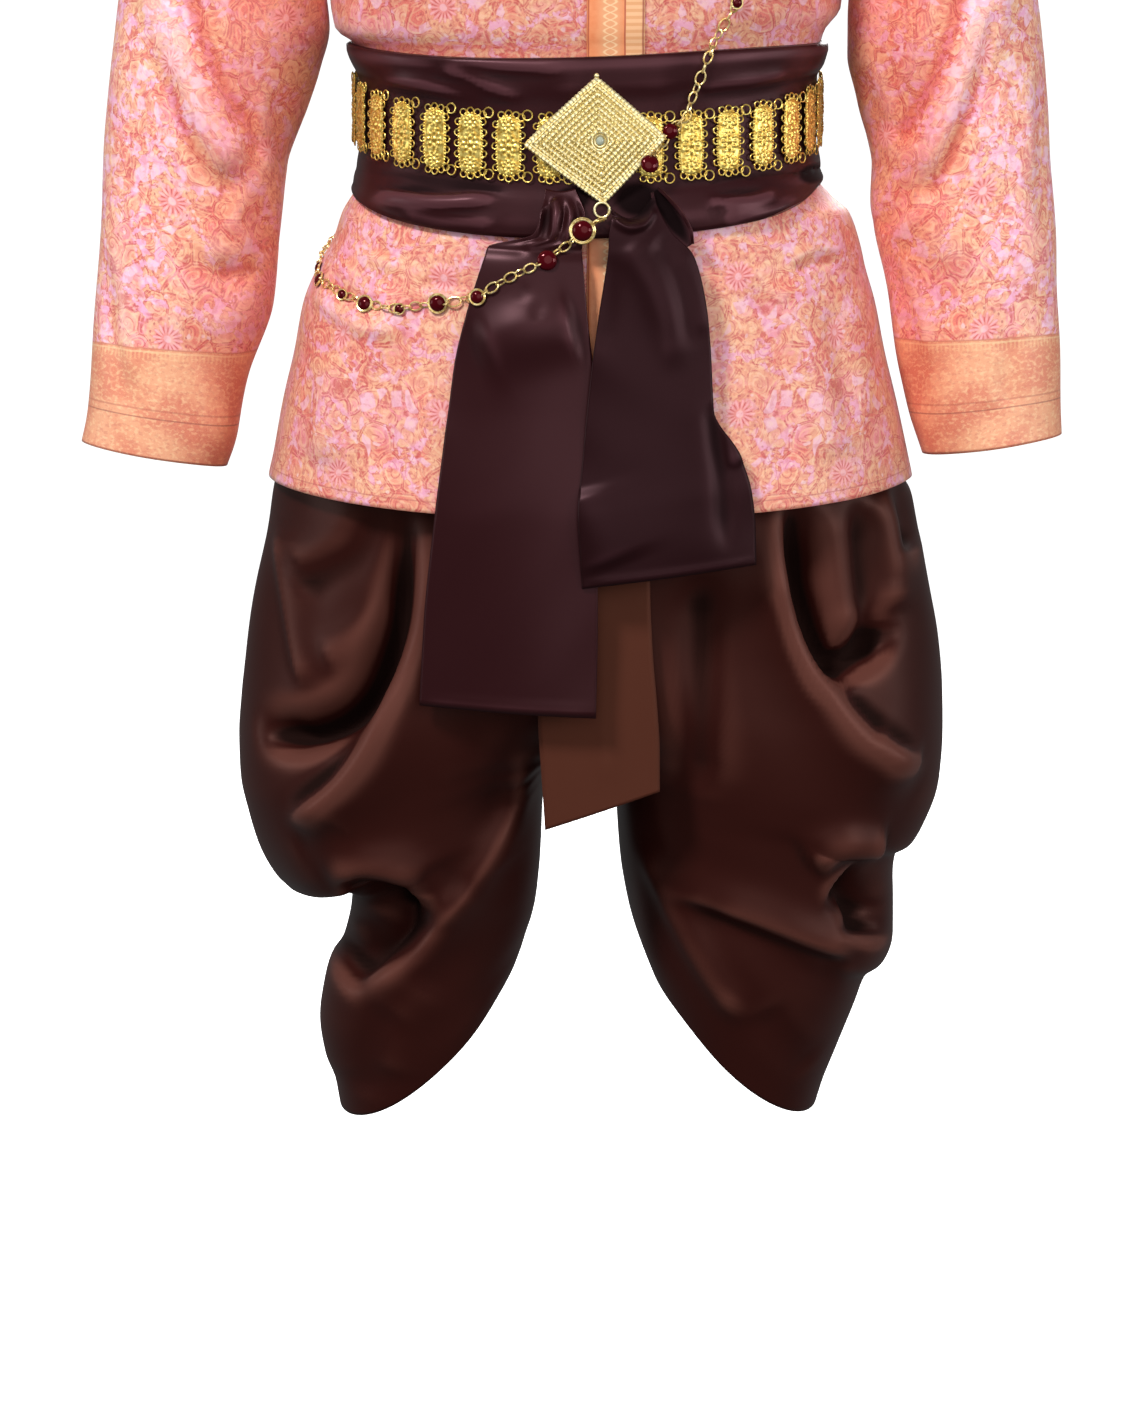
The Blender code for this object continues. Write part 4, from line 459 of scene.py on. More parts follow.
# Chains by the way that each stretch is seen: x and height (y and height from the left, x and y from above), and
# the radius of the stone set there
CHAINS = {
    "chain_front_upper": {
        "above": ((144, -4), (148, -56)),
        "front": (
            (150, 360), (152, 330), (153, 245, 5.5), (149, 200), (140, 160), (126, 123), (108, 93, 5), (90.5, 64),
            (83, 43), (75.5, 24), (69, 8), (58.5, -2, 6), (41, -28.5, 7),
        ),
    },
    "chain_front_lower": {
        "front": (
            (7, -66), (-6.2, -74.5, 10.2), (-33, -96.5, 7.5), (-62.9, -110.5), (-84.6, -124, 6.5), (-101, -129),
            (-114.5, -130.7, 8), (-144, -136, 4.6), (-169, -134, 6.8), (-187, -129, 4.6),
        ),
        "left": ((-45, -120, 6.2), (-26, -112, 5.4), (-3, -102), (28.5, -94)),
    },
    "chain_back": {
        "above": ((144, 5), (143, 30), (141, 58)),
        "back": (
            (139, 360), (136, 325), (118, 245, 5.5), (106, 205), (92, 165), (76, 128), (58, 93, 5.5), (25, 38),
            (8, 13), (-10, -12), (-30, -38), (-56, -64, 5.5), (-84, -83), (-112, -95), (-140, -100),
        ),
        "left": ((82, -99), (55, -97), (29.7, -93.7)),
    },
}

# stones that show no bezel
BARE_STONES = ((58.5, -2), (41, -28.5), (-33, -96.5))


# ---------------------------------------------------------------- sections and surfaces

def through(keys, values, at):
    """A smooth curve through values at rising keys, read at each number in at."""
    keys = np.asarray(keys, float)
    values = np.asarray(values, float)
    at = np.clip(at, keys[0], keys[-1])
    steps = np.diff(keys)
    slopes = np.diff(values, axis=0) / steps[:, None]
    before = np.vstack([slopes[:1], slopes])
    after = np.vstack([slopes, slopes[-1:]])
    tangents = np.where(before * after > 0, 2 * before * after / (before + after + 1e-12), 0.0)
    tangents[0] = slopes[0]
    tangents[-1] = slopes[-1]
    span = np.clip(np.searchsorted(keys, at, side="right") - 1, 0, len(steps) - 1)
    width = steps[span][..., None]
    t = ((at - keys[span]) / steps[span])[..., None]
    rest = (2 * t**3 - 3 * t**2 + 1) * values[span] + (t**3 - 2 * t**2 + t) * width * tangents[span]
    return rest + (3 * t**2 - 2 * t**3) * values[span + 1] + (t**3 - t**2) * width * tangents[span + 1]


def rows_at(table, at):
    """The columns after a table's first, which holds its keys, at each number in at."""
    rows = np.array(table) * MM
    return np.moveaxis(through(rows[:, 0], rows[:, 1:], at), -1, 0)


def rows_along(table, v):
    """The columns of a table at v, which runs from 0 at its first row to 1 at its last."""
    return np.moveaxis(through(range(len(table)), np.array(table) * MM, v * (len(table) - 1)), -1, 0)


def smoothstep(low, high, value):
    t = np.clip((value - low) / (high - low), 0, 1)
    return t * t * (3 - 2 * t)


def unit(vectors):
    return vectors / (np.linalg.norm(vectors, axis=-1, keepdims=True) + 1e-15)


def turns(count):
    """Even angles round a circle."""
    return np.arange(count) * 2 * math.pi / count


def lengths(points):
    """The length along a line up to each of its points."""
    return np.append(0, np.cumsum(np.linalg.norm(np.diff(points, axis=0), axis=1)))


def at_lengths(points, run, at):
    """A line's points at other lengths along it."""
    return np.stack([np.interp(at, run, column) for column in points.T], axis=-1)


def torso(angle, height):
    """The body's surface; angle 0 is the front, and it grows to the viewer's right."""
    left, right, front, back = rows_at(TORSO, height)
    side = np.where(np.sin(angle) < 0, left, right)
    depth = np.where(np.cos(angle) > 0, front, back)
    x = side * np.sin(angle) * (1 + SQUARENESS * np.cos(angle) ** 2)
    y = -depth * np.cos(angle) * (1 + SQUARENESS * np.sin(angle) ** 2)
    return np.stack([x, y, height + 0 * x], axis=-1)


def normals_of(surface, u, v, inside):
    """The outward normals of a surface, which point away from inside on the whole."""
    across = surface(u + SLOPE_STEP, v) - surface(u - SLOPE_STEP, v)
    along = surface(u, v + SLOPE_STEP) - surface(u, v - SLOPE_STEP)
    normal = unit(np.cross(across, along))
    return normal if np.sum(normal * (surface(u, v) - inside)) > 0 else -normal


def fold_height(points, name):
    """How far the folds of a part lift a wall at its points; each fades at its ends and on its two sides."""
    spot = points[..., [0, 2]]
    total = np.zeros(spot.shape[:-1])
    for fold in FOLDS[name]:
        height, left_spread, right_spread, *places = np.array(fold) * MM
        places = np.reshape(places, (-1, 2))
        last = len(places) - 1
        line = through(range(last + 1), places, np.linspace(0, last, last * FOLD_STEPS + 1))
        nearest = np.full(total.shape, 1e9)
        place = np.zeros(total.shape)
        side = np.zeros(total.shape)
        for k, (start, end) in enumerate(zip(line[:-1], line[1:])):
            run = end - start
            t = np.clip(((spot - start) @ run) / (run @ run), 0, 1)
            away = spot - start - t[..., None] * run
            distance = np.hypot(away[..., 0], away[..., 1])
            closer = distance < nearest
            nearest = np.where(closer, distance, nearest)
            place = np.where(closer, (k + t) / (len(line) - 1), place)
            side = np.where(closer, run[0] * away[..., 1] - run[1] * away[..., 0], side)
        spread = np.where(side > 0, right_spread, left_spread)
        ends = smoothstep(0, FOLD_FADE, place) * smoothstep(0, FOLD_FADE, 1 - place)
        total += height * ends * np.exp(-((nearest / spread) ** 2))
    return total


def ripple(points, name):
    """A part's soft unevenness, from waves of about one size in several directions."""
    size, seed, height = RIPPLES[name]
    source = np.random.default_rng(seed)
    total = np.zeros(points.shape[:-1])
    for _ in range(6):
        way = source.normal(size=3) * (1.0, 1.0, 0.6)
        way *= 2 * math.pi / size * source.uniform(0.7, 1.4) / np.linalg.norm(way)
        total += np.sin(points @ way + source.uniform(0, 2 * math.pi))
    return total / 3.0 * height


def facing(normals):
    """Near 1 where a wall faces the front or back and less at the sides, so that folds keep the outline."""
    return 0.25 + 0.75 * smoothstep(0.0, 0.55, np.abs(normals[..., 1]))


def jacket_height(angle, level):
    """Rows are level above the hem and follow the hem's dip below it."""
    return level - smoothstep(HEM_FADE, HEM_SIDE, level) * HEM_DROP * np.cos(angle) ** 2


def panel(ends, side=1):
    """A panel of the jacket: u runs between two angles, which ends gives from the armhole's edge; v is the level."""
    def surface(u, v):
        across = np.clip(1 - ((v - ARMHOLE_MIDDLE) / ARMHOLE_REACH) ** 2, 0, 1)
        start, end = ends(math.pi / 2 - SIDE_GAP - ARMHOLE_ANGLE * np.sqrt(across))
        angle = start + (end - start) * u
        return torso(side * angle, jacket_height(angle, v))
    return surface


def front_ends(edge):
    return FRONT_GAP, edge


def back_ends(edge):
    return math.pi - edge, math.pi + edge


def placket_surface(u, v):
    right = rows_at(TORSO, v)[1]
    x = PLACKET_LEFT + (PLACKET_RIGHT - PLACKET_LEFT) * u
    narrow = np.clip(right / (PLACKET_RIGHT * 2.4), 0, 1)
    angle = x * narrow / (right * (1 + SQUARENESS))
    return torso(angle, jacket_height(angle, v))


def sleeve_surface(side, table):
    """v 0 is the armhole and 1 the cuff; u runs from the underarm seam by the front and top to the back."""
    def surface(u, v):
        turn = 2 * math.pi * u
        opening = (ARMHOLE_ANGLE - 2 * SIDE_GAP) * np.sin(turn)
        hole = torso(side * (math.pi / 2 - opening), ARMHOLE_MIDDLE - (ARMHOLE_REACH - SEAM) * np.cos(turn))
        along = np.clip(v, 0, 1)
        out_x, out_z, in_x, in_z, front, back, shift = rows_along(table, np.clip((along - 0.05) / 0.95, 0, 1))
        inward = 0.5 + 0.5 * np.cos(turn)
        x = out_x + (in_x - out_x) * inward
        y = shift - np.where(np.sin(turn) > 0, front, back) * np.sin(turn)
        z = out_z + (in_z - out_z) * inward
        near = (1 - smoothstep(0.0, 0.06, v))[..., None]
        slope = (v - along)[..., None] * np.array([side * 0.1, 0.0, -0.6])
        return hole * near + np.stack([side * x, y, z], axis=-1) * (1 - near) + slope
    return surface


def collar_surface(u, v):
    angle = COLLAR_OPENING + (2 * math.pi - 2 * COLLAR_OPENING) * u
    points = torso(angle, NECK_HEIGHT + 0 * v)
    points[..., :2] *= (1 - 0.10 * v)[..., None]
    points[..., 2] += SEAM + COLLAR_HEIGHT * v
    return points


def sash_surface(u, v):
    """u runs round from the centre back and v from the top edge to the bottom edge."""
    angle = -math.pi + 2 * math.pi * u
    top = SASH_TOP - SASH_TOP_DIP * np.clip(np.cos(angle + 0.35), 0, 1) ** 3
    drop = SASH_BOTTOM_DROP * np.clip(np.cos(angle), 0, 1) ** 1.5
    bottom = SASH_BOTTOM_SIDE + SASH_BOTTOM_TILT * np.sin(angle) - drop
    return torso(angle, top + (bottom - top) * v)


def sheet_surface(table):
    """A hanging sheet from rows of its left and right edges: u runs from left to right and v down."""
    def surface(u, v):
        left_x, left_z, right_x, right_z, depth = rows_along(table, v)
        x = left_x + (right_x - left_x) * u
        z = left_z + (right_z - left_z) * u
        return np.stack([x, depth + np.sign(-depth) * x**2 * SHEET_BOW, z], axis=-1)
    return surface


def end_surface(table, pleats, phase, sag):
    """A sash end: its top edge sags, and pleats spread from the knot over a slight bow across its width."""
    def surface(u, v):
        points = sheet_surface(table)(u, v)
        fade = (1 - smoothstep(0.0, END_PLEAT_LENGTH, v)) * smoothstep(0.02, 0.14, v)
        across = np.sin(math.pi * np.clip(u, 0, 1))
        points[..., 1] -= END_PLEAT_HEIGHT * fade * np.cos(2 * math.pi * pleats * u + phase)
        points[..., 1] -= END_BOW * across * smoothstep(0, 0.3, v)
        points[..., 2] -= sag * across * (1 - smoothstep(0, END_SAG_LENGTH, v))
        return points
    return surface


def loop_surface(u, v):
    """The knot's loop: a gutter round its axis, which leans from the first row of its table to the last."""
    run_x, run_z = unit(np.subtract(KNOT_LOOP[-1], KNOT_LOOP[0])[:2])
    x, z, y, wide, deep = rows_along(KNOT_LOOP, v)
    angle = (LOOP_START + (LOOP_END - LOOP_START) * u) * DEG
    across = wide * np.cos(angle)
    return np.stack([x - run_z * across, y - deep * np.sin(angle), z + run_x * across], axis=-1)


def leg_surface(side, table):
    """u runs from the front seam by the outer side to the back seam and v from the waist to the hem."""
    def surface(u, v):
        in_x, in_z, out_x, out_z, front, back, droop, start = rows_along(table, v)
        start = np.clip(start / MM, 0, 90) * DEG
        turn = start + (2 * math.pi - 2 * start) * u
        x = out_x - (out_x - in_x) / (1 + np.cos(start)) * (1 + np.cos(turn))
        depth = np.where(np.sin(turn) > 0, front, back)
        y = -depth * np.sin(turn) * (1 + SQUARENESS * np.cos(turn) ** 2)
        share = np.clip((x - in_x) / (out_x - in_x), 0, 1)
        dip = droop * np.where(np.sin(turn) > 0, 1.0, 0.35) * np.abs(np.sin(turn)) ** 1.5
        return np.stack([side * x, y, in_z + (out_z - in_z) * share - dip], axis=-1)
    return surface


def waistband_surface(u, v):
    return torso(-math.pi + 2 * math.pi * u, BAND_BOTTOM + BAND_HEIGHT * v)


def roll_surface(u, v):
    points = sheet_surface(SHEETS["trouser_back_roll"])(u, v)
    points[..., 1] += ROLL_WAVE * np.cos(6 * math.pi * u)
    return points


# ---------------------------------------------------------------- camera, floor and light

def put(name, data, place=Matrix()):
    thing = bpy.data.objects.new(name, data)
    thing.matrix_world = place
    bpy.context.scene.collection.objects.link(thing)
    return thing


def aimed(spot, target):
    """Where a camera or light stands at a spot and looks at a target."""
    turned = (Vector(target) - Vector(spot)).to_track_quat("-Z", "Y")
    return Matrix.Translation(spot) @ turned.to_matrix().to_4x4()


def place_camera():
    """The photo's view: a long lens a little above the waist, looking 9 degrees down."""
    data = bpy.data.cameras.new("camera")
    data.lens = CAMERA_LENS
    data.sensor_width = 36
    data.clip_end = 200
    spot = Vector(CAMERA_TARGET) + Vector((0, -math.cos(CAMERA_FALL), math.sin(CAMERA_FALL))) * CAMERA_DISTANCE
    bpy.context.scene.camera = put("camera", data, aimed(spot, CAMERA_TARGET))


def place_floor():
    mesh = bpy.data.meshes.new("floor")
    mesh.from_pydata([(-90, -90, 0), (90, -90, 0), (90, 90, 0), (-90, 90, 0)], [], [(0, 1, 2, 3)])
    white = (1, 1, 1, 1)
    mesh.materials.append(Graph("floor").finish((0.86, 0.86, 0.86, 1), 0.9, Emission_Color=white, Emission_Strength=1))
    floor = put("floor", mesh, Matrix.Translation((0, 0, FLOOR_HEIGHT)))
    floor.visible_diffuse = False
    floor.visible_glossy = False


def place_lights():
    world = bpy.data.worlds.new("studio")
    world.use_nodes = True
    background = world.node_tree.nodes["Background"]
    background.inputs["Color"].default_value = (1, 1, 1, 1)
    background.inputs["Strength"].default_value = WORLD_LIGHT
    bpy.context.scene.world = world
    for name, spot, size, power in LIGHTS:
        data = bpy.data.lights.new(name, "AREA")
        data.shape = "DISK"
        data.size = size
        data.energy = power
        put(name, data, aimed(spot, LIT_POINT))
    bpy.context.scene.view_settings.view_transform = "Standard"


# ---------------------------------------------------------------- materials

def linear(code):
    """A hex colour as linear red, green, blue and alpha."""
    parts = [int(code[k:k + 2], 16) / 255 for k in (1, 3, 5)]
    return [part / 12.92 if part <= 0.04045 else ((part + 0.055) / 1.055) ** 2.4 for part in parts] + [1.0]


class Value:
    """A node's result, which can stand in a sum with numbers and other results."""

    def __init__(self, graph, socket):
        self.graph = graph
        self.socket = socket

    def __add__(self, other):
        return self.graph.math("ADD", self, other)

    def __sub__(self, other):
        return self.graph.math("SUBTRACT", self, other)

    def __rsub__(self, other):
        return self.graph.math("SUBTRACT", other, self)

    def __mul__(self, other):
        return self.graph.math("MULTIPLY", self, other)

    def __truediv__(self, other):
        return self.graph.math("DIVIDE", self, other)

    __radd__ = __add__
    __rmul__ = __mul__


class Graph:
    """A material's nodes: each method adds some and returns their result. Colours are hex codes or results."""

    def __init__(self, name):
        self.material = bpy.data.materials.new(name)
        self.material.use_nodes = True
        self.tree = self.material.node_tree
        self.shader = self.tree.nodes["Principled BSDF"]

    def put(self, socket, value):
        if isinstance(value, Value):
            self.tree.links.new(value.socket, socket)
        else:
            socket.default_value = linear(value) if isinstance(value, str) else value

    def node(self, kind, inputs, *outputs, **settings):
        """A new node's results, at the outputs named or at its first."""
        node = self.tree.nodes.new("ShaderNode" + kind)
        for name, setting in settings.items():
            setattr(node, name, setting)
        for key, value in inputs.items():
            self.put(node.inputs[key], value)
        results = [Value(self, node.outputs[key]) for key in outputs or (0,)]
        return results if len(results) > 1 else results[0]

    def math(self, operation, *values):
        return self.node("Math", dict(enumerate(values)), operation=operation)

    def vector(self, operation, *values):
        return self.node("VectorMath", dict(enumerate(values)), operation=operation)

    def ramp(self, value, low, high):
        """0 below low and 1 above high, smooth between; falling where high is below low."""
        inputs = {"Value": value, "From Min": min(low, high), "From Max": max(low, high)}
        inputs |= {"To Min": int(low > high), "To Max": int(low < high)}
        return self.node("MapRange", inputs, interpolation_type="SMOOTHSTEP")

    def near(self, value, place, width):
        """1 where value is within width of place, with a soft edge."""
        return self.ramp(self.math("ABSOLUTE", value - place), width, 0.3 * width)

    def mix(self, share, first, second, blend="MIX"):
        return self.node("Mix", {0: share, 6: first, 7: second}, 2, data_type="RGBA", blend_type=blend)

    def over(self, colour, *layers):
        """A colour under layers, each an amount, its strength and its colour."""
        for amount, strength, tint in layers:
            colour = self.mix(amount * strength, colour, tint)
        return colour

    def painted_shade(self, colour, amount, tint):
        """A colour darkened by a tint: painted shade."""
        return self.mix(amount, colour, self.mix(1.0, colour, tint, "MULTIPLY"))

    def split(self, vector):
        return self.node("SeparateXYZ", {0: vector}, 0, 1)

    def polar(self, u, v):
        return self.math("SQRT", u * u + v * v), self.math("ARCTAN2", v, u)

    def flat(self):
        """Places on the flat cloth, in metres."""
        return self.node("UVMap", {}, uv_map="UVMap")

    def fold(self):
        """How far the cloth stands out of its folds here, in mm."""
        return self.node("Attribute", {}, "Fac", attribute_name="fold")

    def noise(self, vector, scale, detail=2.0, output="Fac"):
        return self.node("TexNoise", {"Vector": vector, "Scale": scale, "Detail": detail}, output)

    def noises(self, vector, scale, detail=2.0):
        """Two noises that don't follow each other."""
        return self.split(self.noise(vector, scale, detail, "Color"))

    def cells(self, vector, scale, *outputs, feature="F1", randomness=1.0):
        inputs = {"Vector": vector, "Scale": scale, "Randomness": randomness}
        return self.node("TexVoronoi", inputs, *outputs, feature=feature)

    def bump(self, height, distance, strength):
        inputs = {"Height": height, "Distance": distance, "Strength": strength}
        self.put(self.shader.inputs["Normal"], self.node("Bump", inputs))

    def finish(self, colour, roughness, **constants):
        self.put(self.shader.inputs["Base Color"], colour)
        self.put(self.shader.inputs["Roughness"], roughness)
        for name, value in constants.items():
            self.put(self.shader.inputs[name.replace("_", " ")], value)
        return self.material


def scrolls(g, curled, cell, pitch):
    """Curled leaves, a cell each: a number from 0 to 1 for the leaf, its rim, and its spiral line."""
    edge = g.cells(curled, 1 / cell, "Distance", feature="DISTANCE_TO_EDGE")
    leaf, middle = g.cells(curled, 1 / cell, "Color", "Position")
    pick, kind = g.split(leaf)
    radius, angle = g.polar(*g.split(g.vector("SUBTRACT", curled, middle)))
    hand = g.math("ROUND", kind) * 2.0 - 1.0
    return pick, edge, g.math("FRACT", radius / pitch + angle * hand * (0.5 / math.pi) + pick)


def rosettes(g, flat, shift):
    """Polar places round the middle of each cell of a half-drop lattice: radius in metres, and angle."""
    wide, tall = ROSETTE_CELL
    u, v = g.split(flat)
    u = u + shift[0]
    column = g.math("ABSOLUTE", g.math("FLOOR", u / wide))
    v = v + shift[1] + g.math("MODULO", column, 2.0) * (tall / 2)
    return g.polar(g.math("WRAP", u, wide, 0.0) - wide / 2, g.math("WRAP", v, tall, 0.0) - tall / 2)


def brocade(name, shade_tone, shift, cuff=False):
    """Woven silk: curled leaves outlined in coral on peach and pink, lilac blooms, and rosettes; painted shade in fold
    valleys, a painted highlight on fold ridges, and a multiplied tone that is painted shade on the body's copy.
    """
    g = Graph(name)
    flat = g.flat()
    sway = g.vector("SUBTRACT", g.noise(flat, 44.0, 1.0, "Color"), (0.5, 0.5, 0.5))
    curled = g.vector("ADD", flat, g.vector("MULTIPLY", sway, (0.013, 0.013, 0.0)))
    patch, shade = g.noises(flat, 30.0, 3.0)
    weave, broken = g.noises(flat, 190.0)
    lace, heart = g.noises(flat, 130.0)
    path, _ = g.noises(g.vector("ADD", curled, (0.31, 0.17, 0.0)), 21.0, 1.0)
    pick, edge, spiral = scrolls(g, curled, 0.0185, 0.0056)
    second, rim, curl = scrolls(g, g.vector("ADD", curled, (0.031, 0.017, 0.0)), 0.0120, 0.0040)
    swayed = g.vector("ADD", flat, g.vector("MULTIPLY", sway, (0.006, 0.006, 0.0)))
    radius, angle = rosettes(g, swayed, shift)
    petals = g.math("COSINE", angle * 14.0)
    close = petals * 0.0012 + 0.0105 - radius
    wide = petals * 0.0015 + 0.0180 - radius
    dot, kinds = g.cells(curled, 150.0, "Distance", "Color")
    chosen, which = g.split(kinds)
    fold = g.fold()

    thin = g.ramp(broken, 0.40, 0.54)
    lane = g.near(path, 0.50, 0.070)
    vine = lane * g.ramp(lace, 0.47, 0.53)
    small = g.ramp(second, 0.45, 0.52) * g.ramp(shade, 0.56, 0.48)
    disc = g.ramp(radius, 0.003, 0.006) * g.ramp(close, 0.0, 0.001)
    colour = g.over(
        g.mix(g.ramp(patch, 0.40, 0.60), CORAL, GOLD),
        (g.ramp(shade, 0.50, 0.62), 0.75, PINK),
        # large leaves
        (g.ramp(pick, 0.62, 0.70) * g.ramp(edge, 0.03, 0.09), 0.55, GOLD),
        (g.near(spiral, 0.30, 0.17), 0.45, LINE_GOLD),
        (g.near(spiral, 0.62, 0.12) * thin, 0.65, RED),
        (g.near(edge, 0.045, 0.045) * thin, 0.70, RED),
        (g.near(edge, 0.105, 0.040), 0.40, LINE_GOLD),
        # vines with blooms
        (vine, 0.85, LILAC),
        (vine * g.ramp(heart, 0.56, 0.64), 0.60, "#FBDCEC"),
        (lane * g.near(lace, 0.47, 0.020), 0.55, "#C84858"),
        # small leaves
        (g.near(curl, 0.40, 0.16) * small, 0.45, RED),
        (g.near(curl, 0.80, 0.18) * small, 0.40, LINE_GOLD),
        (g.ramp(second, 0.16, 0.12) * g.ramp(rim, 0.10, 0.18), 0.75, "#F6CCE4"),
        # rosettes
        (g.ramp(wide, -0.0010, 0.0010), 0.40, GOLD),
        (g.near(wide, 0.0, 0.0008) * thin, 0.50, RED),
        (g.ramp(close, -0.0010, 0.0010), 0.80, "#EE8E92"),
        (g.ramp(petals, 0.2, 0.8) * disc, 0.75, "#F8BCC4"),
        (g.ramp(petals, -0.5, -0.9) * disc, 0.85, "#C8343F"),
        (g.ramp(petals, -0.3, -0.9) * g.near(radius, 0.0142, 0.0013), 0.75, "#B83A48"),
        (g.ramp(radius, 0.0032, 0.0022), 0.80, "#F6C4CC"),
        # dots and the weave
        (g.ramp(dot, 0.20, 0.12) * g.ramp(chosen, 0.60, 0.62), 0.55, "#B84A50"),
        (g.ramp(dot, 0.34, 0.16) * g.ramp(which, 0.80, 0.82), 0.60, "#FBE6EC"),
        (g.ramp(weave, 0.50, 0.62), 0.35, "#D87468"),
        (g.ramp(weave, 0.46, 0.36), 0.30, "#FBDDBE"),
    )
    # painted shade in fold valleys, then a painted highlight on fold ridges
    colour = g.painted_shade(colour, g.ramp(fold, -0.2, -2.0) * 0.75, "#E4807A")
    colour = g.over(colour, (g.ramp(fold, 0.3, 2.0), 0.25, "#FFE0E4"))
    # the shade tone multiplies the body's copy darker than the sleeves': painted shade
    colour = g.mix(1.0, colour, shade_tone, "MULTIPLY")
    if cuff:
        colour = with_cuff(g, flat, colour)
    else:
        _, v = g.split(flat)
        colour = g.over(colour, (g.near(v, 0.0085, 0.0008), 0.55, "#B04A44"),
                        (g.ramp(v, 0.0009, 0.0003), 0.50, "#C86A5A"))
    threads = g.noise(g.vector("MULTIPLY", flat, (1.0, 5.0, 1.0)), 900.0, 1.0)
    colour = g.over(colour, (g.ramp(threads, 0.40, 0.65), 0.12, "#FFF0E0"))
    g.bump(threads, 0.0003, 0.25)
    return g.finish(colour, 0.45, Sheen_Weight=0.15, Sheen_Roughness=0.4, Specular_IOR_Level=0.40)


def with_cuff(g, flat, colour):
    """A sleeve's silk with the cuff's woven band; painted shade darkens the silk away from the outer side."""
    u, v = g.split(flat)
    away = g.math("ABSOLUTE", u)
    v = v / (away * 1.16 + 0.975)
    speck, cloud = g.noises(g.vector("MULTIPLY", flat, (1.0, 1.5, 1.0)), 260.0, 3.0)
    flower = g.cells(flat, 84.0, "Distance", randomness=0.35)
    comb = g.ramp(g.math("SINE", u * (2 * math.pi / 0.0034)), -0.2, 0.6)
    cloth = g.over(
        g.mix(g.ramp(g.noise(flat, 26.0), 0.40, 0.62), "#DD8060", "#ECA47C"),
        (g.ramp(speck, 0.50, 0.62), 0.45, "#F8D2A0"),
        (g.ramp(cloud, 0.52, 0.64), 0.40, "#CF6A54"),
        (g.near(v, 0.050, 0.024) * g.near(flower, 0.30, 0.10), 0.18, "#F8D6A4"),
        (g.near(v, 0.074, 0.0045) * comb, 0.30, "#F6CE98"),
        *((g.near(v, place, width), strength, tint) for place, width, strength, tint in CUFF_LINES),
    )
    colour = g.mix(g.ramp(v, CUFF_BAND, CUFF_BAND - 0.0015), colour, cloth)
    # painted shade towards the underarm seam
    return g.painted_shade(colour, g.ramp(away, *SLEEVE_PAINTED_SHADE) * 0.6, "#EE9C84")


def placket_brocade():
    """The front's woven bands: orange, gold twist, orange, then gold with a dash pattern."""
    g = Graph("brocade_placket")
    flat = g.flat()
    u, v = g.split(flat)
    swing = g.math("SINE", v * (2 * math.pi / 0.011)) * 0.0045
    inside = g.near(u, TWIST_MIDDLE, 0.0125)
    band = g.ramp(u, 0.0285, 0.0295)
    dashes = g.ramp(g.math("SINE", v * (2 * math.pi / 0.0052)), -0.1, 0.3)
    colour = g.over(
        g.mix(g.noise(flat, 160.0), "#E07A4A", "#F0A070"),
        (inside, 0.75, "#E8A97C"),
        (g.near(u, TWIST_MIDDLE + swing, 0.0016) * inside, 0.80, "#F6CFA2"),
        (g.near(u, TWIST_MIDDLE - swing, 0.0016) * inside, 0.80, "#F6CFA2"),
        (band, 1.0, "#EFB98C"),
        (band * dashes, 0.50, "#D58B50"),
        *((g.near(u, place, 0.0009), 0.80, "#A84A38") for place in (0.0012, 0.0285, 0.0420)),
    )
    g.bump(g.noise(flat, 800.0), 0.0003, 0.3)
    return g.finish(colour, 0.5, Sheen_Weight=0.25, Sheen_Roughness=0.4, Specular_IOR_Level=0.35)


def satin(name, colour, painted_ridge_highlight, glow, roughness, valley=-1.2, painted_shade_spots=(), depth=None):
    """A dark satin: a fine grain along the cloth and a tinted gloss. Painted shade darkens it and dulls its gloss in
    given spots and behind a depth on the front, and in fold valleys all round; a painted highlight gives fold ridges a
    lighter colour.
    """
    g = Graph(name)
    g.bump(g.noise(g.vector("MULTIPLY", g.flat(), (1.0, 0.30, 1.0)), 1400.0, 1.0), 0.00005, 0.30)
    x, y, z = g.node("SeparateXYZ", {0: g.node("TexCoord", {}, "Object")}, 0, 1, 2)
    # painted shade: lit falls in the spots, behind the depth and in fold valleys, darkening the colour and dulling the
    # gloss
    lit = 1.0
    for middle, height, wide, tall in painted_shade_spots:
        lit = lit * g.ramp(g.polar((x - middle) / wide, (z - height) / tall)[0], 0.7, 1.2)
    if depth:
        lit = lit * g.ramp(y, *depth)
    lit = g.math("MAXIMUM", lit, 1.0 - g.ramp(y, 0.02, -0.02))
    fold = g.fold()
    lit = lit * (g.ramp(fold, valley, -0.1) * 0.88 + 0.12)
    # painted highlight: fold ridges take the lighter ridge colour
    tint = g.mix(lit, "#050202", g.over(colour, (g.ramp(fold, 0.15, -valley), 0.45, painted_ridge_highlight)))
    return g.finish(tint, 0.95 - lit * (0.95 - roughness), Specular_IOR_Level=SATIN_GLOSS, Specular_Tint=glow)


def metal(name, dark, bright, roughness):
    g = Graph(name)
    mottled = g.noise(g.node("TexCoord", {}, "Object"), 420.0)
    return g.finish(g.mix(g.ramp(mottled, 0.35, 0.65), dark, bright), roughness, Metallic=0.72)


def gem(name, colour, level, glow):
    return Graph(name).finish(colour, 0.12, Specular_IOR_Level=level, Specular_Tint=glow)


# ---------------------------------------------------------------- cloth

def declare(piece, node):
    """A piece rides on the one body and stands for its node, which is hidden."""
    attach(piece, "root")
    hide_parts(node)


